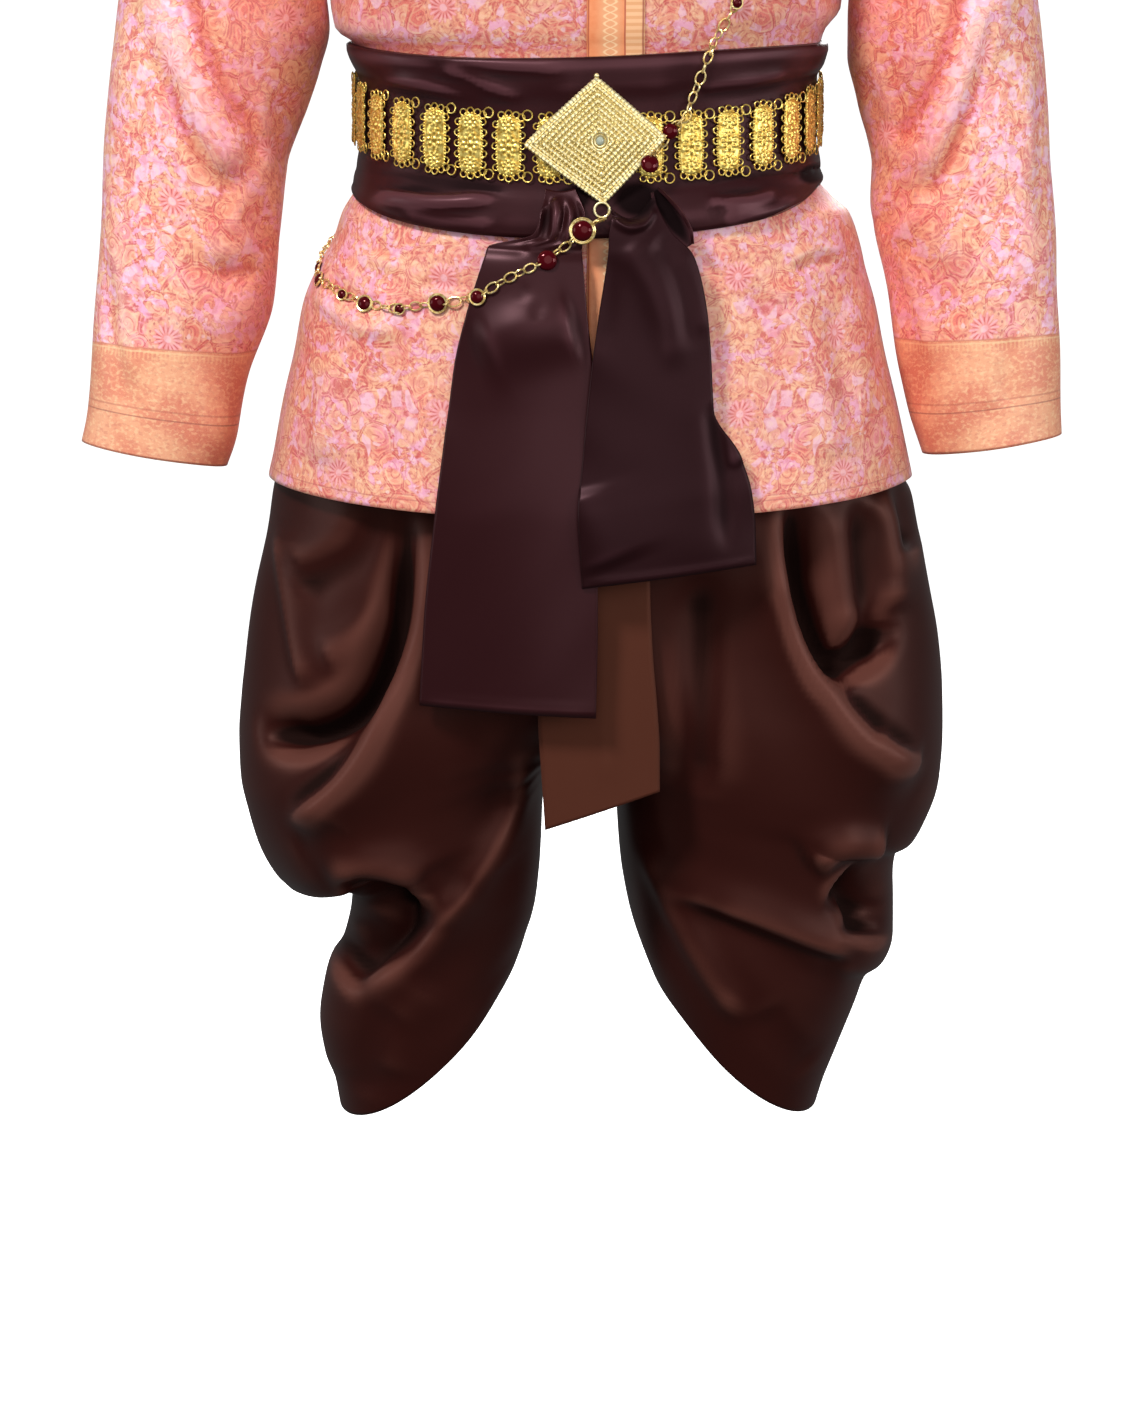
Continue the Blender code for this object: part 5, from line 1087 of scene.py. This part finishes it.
def grid_faces(shape):
    """The quads of a grid of points, and the numbers of the points round its rim."""
    number = np.arange(shape[0] * shape[1]).reshape(shape)
    quads = np.stack([number[:-1, :-1], number[1:, :-1], number[1:, 1:], number[:-1, 1:]], axis=-1).reshape(-1, 4)
    return quads, np.concatenate([number[:, 0], number[-1, 1:], number[-2::-1, -1], number[0, -2:0:-1]])


def rim_faces(rim, foot):
    """The quads between a rim and another loop of points behind it."""
    return np.stack([foot, np.roll(foot, -1), np.roll(rim, -1), rim], axis=-1)


def flat_places(points, column, row):
    """Each point's place on the flat cloth, in metres from one column and one row of the grid."""
    u = np.cumsum(np.linalg.norm(np.diff(points, axis=0, prepend=points[:1]), axis=-1), axis=0)
    v = np.cumsum(np.linalg.norm(np.diff(points, axis=1, prepend=points[:, :1]), axis=-1), axis=1)
    return np.stack([u - u[column], np.abs(v - v[:, row][:, None])], axis=-1)


def fold_depth(points, normals, reach):
    """How far each point stands out from the mean of those around it, in mm: under 0 in a fold's valley."""
    mean = points
    for axis in (0, 1):
        step = np.linalg.norm(np.diff(points, axis=axis), axis=-1).mean()
        count = max(round(reach / step), 1)
        edges = [(count, count) if k == axis else (0, 0) for k in range(3)]
        padded = np.pad(mean, edges, mode="reflect", reflect_type="odd")
        size = points.shape[axis]
        mean = sum(np.take(padded, range(k, k + size), axis=axis) for k in range(2 * count + 1)) / (2 * count + 1)
    return np.einsum("uvk,uvk->uv", points - mean, normals) / MM


def cloth(node, surface, us, vs, thickness, material, inside=(0, 0, 0), outset=0.0, relief=None, trim=None,
          column=0, row=0, reach=0.009):
    """A fine closed wall for a node, with its places on the flat cloth as UVs in metres.

    us and vs are places from 0 to 1, or how many even ones; the relief lifts the surface along its normals.
    """
    places = [np.linspace(0, 1, at) if isinstance(at, int) else at for at in (us, vs)]
    u, v = np.meshgrid(*places, indexing="ij")
    base = surface(u, v)
    normals = normals_of(surface, u, v, inside)
    lift = outset + (relief(base, normals) if relief else 0 * u)
    outer = base + normals * lift[..., None]
    inner = outer - normals * (thickness + 0 * u)[..., None]
    if trim:
        outer = trim(outer)
        inner = trim(inner)
    quads, rim = grid_faces(u.shape)
    faces = np.concatenate([quads, quads[:, ::-1] + u.size, rim_faces(rim, rim + u.size)])
    points = np.concatenate([outer.reshape(-1, 3), inner.reshape(-1, 3)])
    first, second, third, fourth = (points[faces[:, k]] for k in range(4))
    if np.sum(first * (np.cross(second, third) + np.cross(third, fourth))) < 0:
        faces = faces[:, ::-1]
    mesh = bpy.data.meshes.new(node + "_cloth")
    mesh.from_pydata(points.tolist(), [], faces.tolist())
    flat = np.tile(flat_places(outer, column, row).reshape(-1, 2), (2, 1))
    mesh.uv_layers.new(name="UVMap").data.foreach_set("uv", flat[faces.ravel()].ravel().astype(np.float32))
    mesh.polygons.foreach_set("use_smooth", np.arange(len(faces)) < 2 * len(quads))
    # the fold depth, which the materials paint as shade in valleys and highlight on ridges
    depth = np.tile(fold_depth(outer, normals, reach).ravel(), 2)
    mesh.attributes.new("fold", "FLOAT", "POINT").data.foreach_set("value", depth.astype(np.float32))
    mesh.materials.append(material)
    mesh.update()
    piece = put(node + "_cloth", mesh)
    declare(piece, node)


def open_seam(points):
    """Half a seam off both long edges of a tube."""
    points[0, :, 1] -= SEAM / 2
    points[-1, :, 1] += SEAM / 2
    return points


def jacket_relief(points, normals):
    """Folds of the skirt and the chest; the jacket lies flat under the sash, and its folds end at the armholes."""
    z = points[..., 2]
    under_sash = smoothstep(-0.105, -0.085, z) * (1 - smoothstep(0.075, 0.09, z))
    folds = fold_height(points, "jacket") * facing(normals) * smoothstep(0.24, 0.20, z)
    return (folds + ripple(points, "jacket")) * (1 - under_sash)


def make_jacket():
    # the body's brocade takes a darker tone than the sleeves': painted shade
    body = brocade("brocade_body", "#EBDDDD", (0.020, 0.030))
    sleeve_silk = brocade("brocade_sleeve", "#FFFAFC", (0.045, 0.010), cuff=True)
    armhole = ARMHOLE_MIDDLE - ARMHOLE_REACH * np.cos(np.linspace(0, math.pi, 37))
    # rows of the skirt, under the sash, of the chest, beside the armhole and of the shoulder
    levels = np.concatenate([np.linspace(HEM_SIDE, -0.060, 72), np.linspace(-0.050, 0.050, 11),
                             np.linspace(0.0602, 0.230, 36), armhole, np.linspace(0.382, NECK_HEIGHT, 14)])
    cloth("jacket_front_left", panel(front_ends, -1), 61, levels, BROCADE, body, relief=jacket_relief)
    cloth("jacket_front_right", panel(front_ends), 61, levels, BROCADE, body, relief=jacket_relief)
    cloth("jacket_back", panel(back_ends), 87, levels, BROCADE, body, relief=jacket_relief, column=43)
    cloth("jacket_placket", placket_surface, 13, levels[:-1], PLACKET_CLOTH, placket_brocade(),
          outset=SEAM + PLACKET_CLOTH, relief=jacket_relief)
    make_sleeve("jacket_sleeve_left", -1, sleeve_silk)
    make_sleeve("jacket_sleeve_right", 1, sleeve_silk)
    cloth("jacket_collar", collar_surface, 121, 13, STAND_COLLAR, body, (0, 0, 0.45))


def make_sleeve(node, side, material):
    def relief(points, normals):
        below_shoulder = smoothstep(0.34, 0.25, points[..., 2])
        return fold_height(points, node) * facing(normals) + ripple(points, node) * below_shoulder
    rows = np.append(np.linspace(0, 0.05, 8), np.linspace(0.058, 1, 128))
    cloth(node, sleeve_surface(side, TUBES[node]), 97, rows, BROCADE, material, (side * 0.3, 0, 0.05),
          relief=relief, trim=open_seam, column=48, row=-1, reach=0.012)


def make_sheet(node, surface, columns, rows, thickness, material, row=0):
    """A hanging sheet, seen from the front, with its folds and its ripple."""
    def relief(points, normals):
        return fold_height(points, node) + ripple(points, node)
    cloth(node, surface, columns, rows, thickness, material, (0, 1, -0.2), relief=relief, row=row)


def make_sash():
    us = np.linspace(0.0004, 0.9996, 241)
    u, v = np.meshgrid(us, np.linspace(0, 1, 41), indexing="ij")
    angle = -math.pi + 2 * math.pi * u
    left, right = rows_at(SASH_SWELL, v)
    swell = left + (right - left) * (0.5 + 0.5 * np.sin(angle))
    points = sash_surface(u, v)
    normals = normals_of(sash_surface, u, v, (0, 0, 0))
    # no creases under the belt or at the sides
    free = 1 - smoothstep(0.16, 0.28, v) * (1 - smoothstep(0.66, 0.78, v))
    free = free * smoothstep(0.45, 0.80, np.abs(normals[..., 1]))
    creases = np.maximum(fold_height(points, "sash_wrap") * free, -1 * MM)
    swell = swell + creases + ripple(points, "sash_wrap") * free
    over_placket = smoothstep(-0.22, -0.06, angle) * (1 - smoothstep(0.24, 0.40, angle))
    # painted shade round the knot and under the belt
    wrapped = satin("sash_satin_wrap", *SASH_LOOK, painted_shade_spots=WRAP_PAINTED_SHADE)
    cloth("sash_wrap", sash_surface, us, 41, SASH_WRAP + swell, wrapped,
          outset=LAYER_GAP + SASH_WRAP + OVER_PLACKET * over_placket + swell)
    # the ends' satin has painted shade in fold valleys down to 2.6 mm; the right end's is a darker copy, painted
    # shade, with more in its mouth
    hung = satin("sash_satin_ends", *SASH_LOOK, valley=-2.6)
    dark = satin("sash_satin_end_right", *RIGHT_END_SHADED_LOOK, valley=-2.6, painted_shade_spots=MOUTH_PAINTED_SHADE)
    # pleats across the end, their phase and the sag of the top edge
    for node, material, *pleats in (("sash_end_left", hung, 3, 0.0, 0.002),
                                    ("sash_end_right", dark, 1, math.pi, 0.011)):
        make_sheet(node, end_surface(SHEETS[node], *pleats), 61, 131, SASH_END, material, row=-1)
    x, z, y = np.array(KNOT_LOOP[1][:3]) * MM
    # the loop's satin is painted dark towards its back: painted shade
    cloth("sash_knot_loop", loop_surface, 49, 49, SASH_END, satin("sash_satin_loop", *SASH_LOOK, depth=LOOP_PAINTED_SHADE),
          (x, y, z))


def make_leg(node, side, material):
    def trim(points):
        points = open_seam(points)
        points[..., 0] = side * np.maximum(side * points[..., 0], SEAM / 2)
        return points

    def relief(points, normals):
        x, y, z = np.moveaxis(points, -1, 0)
        behind = np.where(y > 0, 0.8, 1.0)
        folds = fold_height(points, node) * facing(normals) * behind
        off_seam = smoothstep(0.004, 0.035, np.abs(x))
        return (folds + ripple(points, node)) * smoothstep(FOLDS_FROM, FOLDS_FULL, z) * off_seam
    cloth(node, leg_surface(side, TUBES[node]), 161, 161, TROUSER_SATIN, material, (side * 0.13, 0, -0.4),
          relief=relief, trim=trim, row=-1, reach=0.014)


def make_trousers():
    # painted shade in fold valleys and a painted highlight on ridges
    material = satin("trouser_satin", *TROUSER_LOOK, valley=-3.6)
    make_leg("trouser_leg_left", -1, material)
    make_leg("trouser_leg_right", 1, material)
    cloth("trouser_waistband", waistband_surface, np.linspace(0.0005, 0.9995, 97), 5, WAISTBAND, material,
          outset=-(BROCADE + WAISTBAND_GAP))
    flap = sheet_surface(SHEETS["trouser_front_flap"])
    make_sheet("trouser_front_flap", flap, 25, 121, FRONT_FLAP, satin("flap_satin", *FLAP_LOOK))
    cloth("trouser_back_roll", roll_surface, 33, 81, TROUSER_SATIN, material, (0, -1, -0.2))


# ---------------------------------------------------------------- metal work

def tube_faces(rings, sides, closed=False):
    """The quads between rings of points, one behind the other, and round to the first where closed."""
    return [(i * sides + k, i * sides + (k + 1) % sides, (i + 1) % rings * sides + (k + 1) % sides,
             (i + 1) % rings * sides + k) for i in range(rings if closed else rings - 1) for k in range(sides)]


class Pieces:
    """Points and faces gathered from many small shapes, each with its material's number."""

    def __init__(self):
        self.points = []
        self.faces = []
        self.kinds = []

    def add(self, points, faces, kind=0):
        start = sum(map(len, self.points))
        self.points.append(points)
        self.faces += [[int(index) + start for index in face] for face in faces]
        self.kinds += [kind] * len(faces)

    def tube(self, path, radius, sides=6, away=(0, -1, 0)):
        """A round wire along a closed path, whose radius may change along it."""
        along = unit(np.roll(path, -1, axis=0) - np.roll(path, 1, axis=0))
        across = unit(np.cross(along, away))[:, None]
        out = np.cross(across, along[:, None])
        turn = turns(sides)[:, None]
        ring = (across * np.cos(turn) + out * np.sin(turn)) * np.reshape(radius, (-1, 1, 1))
        self.add((path[:, None] + ring).reshape(-1, 3), tube_faces(len(path), sides, closed=True))

    def dome(self, centre, wide, high, tall=None, away=(0, -1, 0), across=(1, 0, 0), kind=0, sides=12, rings=3,
             foot=0.35):
        """A cabochon: a closed dome with a short wall below its rim; wide and tall are half sizes."""
        centre, away, across = (np.asarray(v, float) for v in (centre, away, across))
        across = unit(across - away * (across @ away))
        turn = turns(sides)[:, None]
        circle = across * wide * np.cos(turn) + np.cross(away, across) * (tall or wide) * np.sin(turn)
        levels = [(0.85, -foot)] + [(math.cos(a), math.sin(a)) for a in np.linspace(0, math.pi / 2, rings + 1)[:-1]]
        points = [centre + circle * share + away * (high * rise) for share, rise in levels]
        last = rings * sides
        faces = [range(sides - 1, -1, -1)] + tube_faces(rings + 1, sides)
        faces += [(last + k, last + (k + 1) % sides, last + sides) for k in range(sides)]
        self.add(np.concatenate(points + [[centre + away * high]]), faces, kind)

    def mound(self, outer, deep, kind=0):
        """A plate whose front is a grid of points and whose back is flat, deep behind the front's rim."""
        quads, rim = grid_faces(outer.shape[:2])
        points = outer.reshape(-1, 3)
        foot = len(points) + np.arange(len(rim))
        faces = [*quads, *rim_faces(rim, foot), foot[::-1]]
        self.add(np.concatenate([points, points[rim] + (0.0, deep, 0.0)]), faces, kind)

    def ring(self, x, z, y, radius, wire, count=12, sides=5, tall=1.0):
        turn = turns(count)
        path = np.stack([x + radius * np.cos(turn), 0 * turn + y, z + tall * radius * np.sin(turn)], axis=-1)
        self.tube(path, wire, sides)

    def made(self, name, materials):
        mesh = bpy.data.meshes.new(name)
        mesh.from_pydata(np.concatenate(self.points).tolist(), [], self.faces)
        mesh.polygons.foreach_set("material_index", self.kinds)
        bm = bmesh.new()
        bm.from_mesh(mesh)
        bmesh.ops.recalc_face_normals(bm, faces=bm.faces[:])
        bm.to_mesh(mesh)
        bm.free()
        for material in materials:
            mesh.materials.append(material)
        mesh.polygons.foreach_set("use_smooth", [True] * len(mesh.polygons))
        mesh.set_sharp_from_angle(angle=50 * DEG)
        mesh.update()
        return mesh


def flower_height(x, z):
    """The embossed core of a belt plate: a flower round a boss, and a smaller one above and below it."""
    total = 0 * x
    for middle, size in ((0.0, 1.0), (0.0152, 0.72), (-0.0152, 0.72)):
        radius = np.hypot(x, z - middle) / size
        petals = 0.5 + 0.5 * np.cos(8 * np.arctan2(x, z - middle))
        total += 1.0 * np.exp(-((radius / 0.0019) ** 2))
        total += 0.9 * petals * np.exp(-(((radius - 0.0050) / 0.0016) ** 2))
        total += 0.6 * (1 - petals) * np.exp(-(((radius - 0.0078) / 0.0012) ** 2))
    return PLATE_RELIEF * np.clip(total, 0, 1.1)


def core_place(s, t):
    """A place on a belt plate's core, from -1 to 1 across and up it, as x and z; its corners are rounded."""
    return (CORE_WIDTH / 2 * s * np.sqrt(1 - CORE_ROUNDING * t * t),
            CORE_HEIGHT / 2 * t * np.sqrt(1 - CORE_ROUNDING * s * s))


def plate_look(pitch):
    """A belt plate in its own frame: +X along the belt, -Y out of it and +Z up. Open rings edge its core."""
    parts = Pieces()
    s, t = np.meshgrid(np.linspace(-1, 1, 29), np.linspace(-1, 1, 63), indexing="ij")
    x, z = core_place(s, t)
    rim = np.minimum((1 - np.abs(s)) * CORE_WIDTH, (1 - np.abs(t)) * CORE_HEIGHT) / 2
    rise = smoothstep(0.0, CORE_STEP, rim) * CORE_STEP + flower_height(x, z) * smoothstep(0.0008, 0.0022, rim)
    parts.mound(np.stack([x, -(CORE_FOOT + rise), z], axis=-1), 0.6 * MM)
    border = [(s, t) for t in np.linspace(-0.93, 0.93, 17) for s in (-1, 1)]
    border += [(s, t) for s in np.linspace(-0.80, 0.80, 6) for t in (-1, 1)]
    for x, z in (core_place(*place) for place in border):
        parts.dome((x, -0.8 * MM, z), 1.05 * MM, 1.0 * MM, sides=6, rings=1, foot=0.6)
    for level in np.linspace(-0.0160, 0.0160, 5):
        for side in (-1, 1):
            reach = core_place(1, level / (CORE_HEIGHT / 2))[0] + 1.2 * MM
            parts.ring(side * reach, level, -CORE_FOOT, 2.3 * MM, EDGE_WIRE)
    for across in (-0.0056, 0.0, 0.0056):
        for end in (-1, 1):
            reach = core_place(across / (CORE_WIDTH / 2), 1)[1] + 1.6 * MM
            parts.ring(across, end * reach, -CORE_FOOT, 2.5 * MM, EDGE_WIRE)
    for end in (-1, 1):
        parts.ring(pitch / 2, end * (PLATE_HEIGHT / 2 - 5.0 * MM), -0.6 * MM, 3.7 * MM, EDGE_WIRE, count=16)
        parts.ring(9.8 * MM, end * (PLATE_HEIGHT / 2 - 6.8 * MM), -CORE_FOOT, 2.6 * MM, EDGE_WIRE)
    return parts


def belt_height(angle):
    return BELT_SIDE_HEIGHT - BELT_DIP * np.clip(np.cos(angle), 0, 1) ** 1.2


def make_belt(gold):
    angles = np.linspace(-math.pi, math.pi, 1440)
    path = torso(angles, belt_height(angles))
    run = lengths(path[:, :2])
    front = np.abs(angles) < 1
    middle = np.interp(BUCKLE_CENTRE[0], path[front, 0], run[front])
    pitch = (run[-1] / 2 - FIRST_PLATE) / (PLATES_A_SIDE - 0.5)
    places = [HIDDEN_PLATE] + [FIRST_PLATE + k * pitch for k in range(PLATES_A_SIDE)]
    mesh = plate_look(pitch).made("belt_plate_look", [gold])
    for number, place in enumerate(sorted(side * place for side in (-1, 1) for place in places)):
        name = f"belt_plate_{number:02d}"
        angle = np.array(np.interp((middle + place) % run[-1], run, angles))
        height = belt_height(angle)
        ahead = torso(angle + 0.01, height) - torso(angle, height)
        heading = math.atan2(ahead[1], ahead[0])
        along = np.array([math.cos(heading), math.sin(heading), 0])
        away = np.array([math.sin(heading), -math.cos(heading), 0])
        solid = np.array([vertex.co for vertex in frame["nodes"][name].data.vertices])
        side = (solid @ along).min() + PLATE_WIDTH / 2
        face = (solid @ away).max() - CORE_FRONT
        level = (solid[:, 2].min() + solid[:, 2].max()) / 2
        centre = along * side + away * face + (0, 0, level)
        piece = put(name + "_look", mesh, Matrix.Translation(centre) @ Matrix.Rotation(heading, 4, "Z"))
        declare(piece, name)


def buckle_height(share):
    """The dome's height at a share of the way out."""
    return 0.0010 + 0.0050 * (1 - share) ** 0.8


def buckle_line(share, count, lift):
    """Even points round the buckle's dome at a share of the way out; it is wider on the left than on the right."""
    cosine, sine = np.cos(turns(960)), np.sin(turns(960))
    reach = share * (np.abs(cosine) ** BUCKLE_BOW + np.abs(sine) ** BUCKLE_BOW) ** (-1 / BUCKLE_BOW)
    wide = np.where(cosine < 0, BUCKLE_LEFT, BUCKLE_RIGHT)
    outline = np.stack([wide * reach * cosine, BUCKLE_HALF_HEIGHT * reach * sine], axis=-1)
    outline = np.append(outline, outline[:1], axis=0)
    run = lengths(outline)
    x, z = at_lengths(outline, run, np.arange(count) * run[-1] / count).T
    return np.stack([x, 0 * x - buckle_height(share) - lift, z], axis=-1)


def make_buckle(gold, base, jewel):
    parts = Pieces()
    rings = np.array([buckle_line(share, 96, 0.0) for share in np.linspace(0.02, 1.0, 12)])
    parts.mound(np.append(rings, rings[:, :1], axis=1), 0.0012, kind=2)
    for share, wire, lift in BUCKLE_RIMS:
        twist = 1 + 0.16 * np.sin(np.arange(420) * 2 * math.pi / 5)
        parts.tube(buckle_line(share, 420, lift), wire * twist)
    around = 2 * (math.hypot(BUCKLE_LEFT, BUCKLE_HALF_HEIGHT) + math.hypot(BUCKLE_RIGHT, BUCKLE_HALF_HEIGHT))
    for share in BUCKLE_RIDGES:
        count = int(ROPE_STEPS * share * around / ROPE_PITCH)
        rope = 1 + 0.18 * np.sin(np.arange(count) * 2 * math.pi / ROPE_STEPS)
        parts.tube(buckle_line(share, count, 0.4 * MM), ROPE_WIRE * rope)
    for share in BUCKLE_BEADS:
        for spot in buckle_line(share, int(share * around / (BEAD_PITCH * BEAD_RADIUS)), 0.1 * MM):
            parts.dome(spot, BEAD_RADIUS, BEAD_RADIUS, sides=7, rings=2, foot=0.6)
    # the jewel in its two rings, the bead at the top and the row of them below the jewel
    for radius in (4.0 * MM, 6.0 * MM):
        parts.ring(0, 0, -6.6 * MM, radius, 0.7 * MM, count=24, tall=1.1)
    parts.dome((0, -6.4 * MM, 0), 3.0 * MM, 1.5 * MM, tall=3.4 * MM, kind=1, sides=16, rings=4)
    parts.dome((0, -1.6 * MM, BUCKLE_HALF_HEIGHT + 1.2 * MM), 2.0 * MM, 2.0 * MM, sides=10)
    for level in -0.019 - 0.0056 * np.arange(4):
        face = buckle_height(-level / BUCKLE_HALF_HEIGHT) + 1.0 * MM
        parts.dome((0, -face, level), 2.1 * MM, 2.0 * MM, sides=10)
    place = Matrix.Translation(BUCKLE_CENTRE) @ Matrix.Rotation(-BUCKLE_TURN, 4, "Y")
    declare(put("buckle_look", parts.made("buckle_look", [gold, jewel, base]), place), "buckle")
    parts = Pieces()
    parts.ring(0, 0, 0, RING_RADIUS, RING_WIRE, count=28, sides=8)
    place = Matrix.Translation(RING_CENTRE)
    declare(put("buckle_ring_look", parts.made("buckle_ring_look", [gold]), place), "buckle_ring")


# ---------------------------------------------------------------- chain

def look_tree():
    """The cloth, the belt and the buckle as one tree, to rest the chain on; the sleeves hang clear of it."""
    vertices = []
    polygons = []
    for thing in bpy.context.scene.objects:
        if thing.name.endswith(("_cloth", "_look")) and "sleeve" not in thing.name:
            start = len(vertices)
            vertices += [thing.matrix_world @ vertex.co for vertex in thing.data.vertices]
            polygons += [[start + index for index in face.vertices] for face in thing.data.polygons]
    return BVHTree.FromPolygons(vertices, polygons)


def headroom(tree, spot, away, reach):
    """How far a point lies above the highest of the looks within reach of it."""
    side = away.orthogonal().normalized()
    other = away.cross(side)
    least = LOOK_FROM
    for k in range(9):
        spoke = side * math.cos(k * math.pi / 4) + other * math.sin(k * math.pi / 4)
        start = spot + spoke * (reach if k < 8 else 0) + away * LOOK_FROM
        hit, _, _, distance = tree.ray_cast(start, -away)
        if hit:
            least = min(least, distance - LOOK_FROM)
    return least


def resting_place(tree, way, first, second):
    """Where a ray meets the looks, with their outward normal there; the two places are in mm."""
    across, up, toward = (Vector(axis) for axis in RAYS[way])
    spot, normal, _, _ = tree.ray_cast((across * first + up * second) * MM - toward, toward)
    return spot, normal if normal.dot(toward) < 0 else -normal


def chain_route(tree, rows):
    """Places along a chain, each its point on the cloth and the direction away from the cloth."""
    spots = []
    aways = []
    for (way, *first, _), (next_way, *second, _) in zip(rows[:-1], rows[1:]):
        start, end = resting_place(tree, way, *first), resting_place(tree, next_way, *second)
        for t in np.arange(ROUTE_STEPS) / ROUTE_STEPS:
            if way == next_way:
                between = (a + (b - a) * t for a, b in zip(first, second))
                spot, away = resting_place(tree, way, *between)
            else:
                guess = start[0].lerp(end[0], t)
                away = start[1].lerp(end[1], t).normalized()
                hit = tree.ray_cast(guess + away * 0.03, -away)[0]
                spot = guess if hit is None else hit
            spots.append(spot)
            aways.append(away)
    spots = np.array(spots + [end[0]])
    aways = np.array(aways + [end[1]])
    for _ in range(6):
        aways[1:-1] = (aways[:-2] + 2 * aways[1:-1] + aways[2:]) / 4
    return spots, unit(aways)


def make_chain(tree, name, gold, garnet):
    """Oval links, each turned from the last, laid on whatever is under them, and the set stones."""
    rows = [(way, *(*place, 0)[:3]) for way, places in CHAINS[name].items() for place in places]
    spots, aways = chain_route(tree, rows)
    run = lengths(spots)
    count = max(round(run[-1] / LINK_PITCH), 2)
    at = np.linspace(0, run[-1], count)
    point = at_lengths(spots, run, at)
    away = unit(at_lengths(aways, run, at))
    lift = np.array([LINK_LIFT - min(headroom(tree, Vector(spot), Vector(up), LINK_REACH), 0.0)
                     for spot, up in zip(point, away)])
    lift = np.maximum(lift, 0.5 * (np.roll(lift, 1) + np.roll(lift, -1)) - 0.001)
    centre = point + away * lift[:, None]
    along = unit(np.gradient(centre, axis=0))
    parts = Pieces()
    for k in range(count):
        across = unit(np.cross(along[k], away[k]))
        lean = LINK_LEANS[k % len(LINK_LEANS)] * DEG
        tilt = math.cos(lean) * across + math.sin(lean) * np.cross(across, along[k])
        size = LINK_SIZES[k % len(LINK_SIZES)]
        loop = np.outer(LINK_LONG * size * np.cos(turns(16)), along[k])
        loop += np.outer(LINK_WIDE * size * np.sin(turns(16)), tilt)
        parts.tube(centre[k] + loop, LINK_WIRE, sides=7, away=np.cross(along[k], tilt))
    for way, first, second, radius in rows:
        if radius:
            spot, _ = resting_place(tree, way, first, second)
            near = int(np.argmin(np.linalg.norm(point - np.array(spot), axis=1)))
            level = unit(away[near] * ((0.5, 1.0, 0.3) if way == "front" else 1.0))
            rise = 0.0012 - min(headroom(tree, spot, Vector(level), 0.85 * radius * MM), 0.0)
            set_stone(parts, np.array(spot), level, along[near], radius * MM, rise, (first, second) in BARE_STONES)
    declare(put(name + "_look", parts.made(name + "_look", [gold, garnet])), name)


def set_stone(parts, spot, away, along, radius, lift, bare):
    """A round cabochon, in a bezel of two wires unless bare; radius is to its outside."""
    centre = spot + away * (lift + 0.0006)
    across = unit(np.cross(away, along))
    ahead = np.cross(across, away)
    for share, height, wire in () if bare else BEZEL_WIRES:
        ring = share * radius * (np.outer(np.cos(turns(28)), across) + np.outer(np.sin(turns(28)), ahead))
        parts.tube(centre + away * (radius * height) + ring, wire * radius, sides=7, away=away)
    parts.dome(centre - away * 0.0004, radius if bare else 0.80 * radius, 0.50 * radius, away=away, across=across,
               kind=1, sides=24, rings=6)


def main():
    place_camera()
    place_floor()
    place_lights()
    make_jacket()
    make_sash()
    make_trousers()
    make_belt(metal("belt_gold", "#C2983A", "#FBE27E", 0.32))
    make_buckle(metal("buckle_gold", "#EAD490", "#FFF4C4", 0.36), metal("buckle_base", "#A8904C", "#C4AC66", 0.42),
                gem("clear_jewel", "#9FA694", 0.5, "#FFFFFF"))
    chain_gold = metal("chain_gold", "#D2AE62", "#F6E2A4", 0.28)
    garnet = gem("garnet", "#40030A", 0.38, "#F0A0A0")
    tree = look_tree()
    for name in CHAINS:
        make_chain(tree, name, chain_gold, garnet)


main()
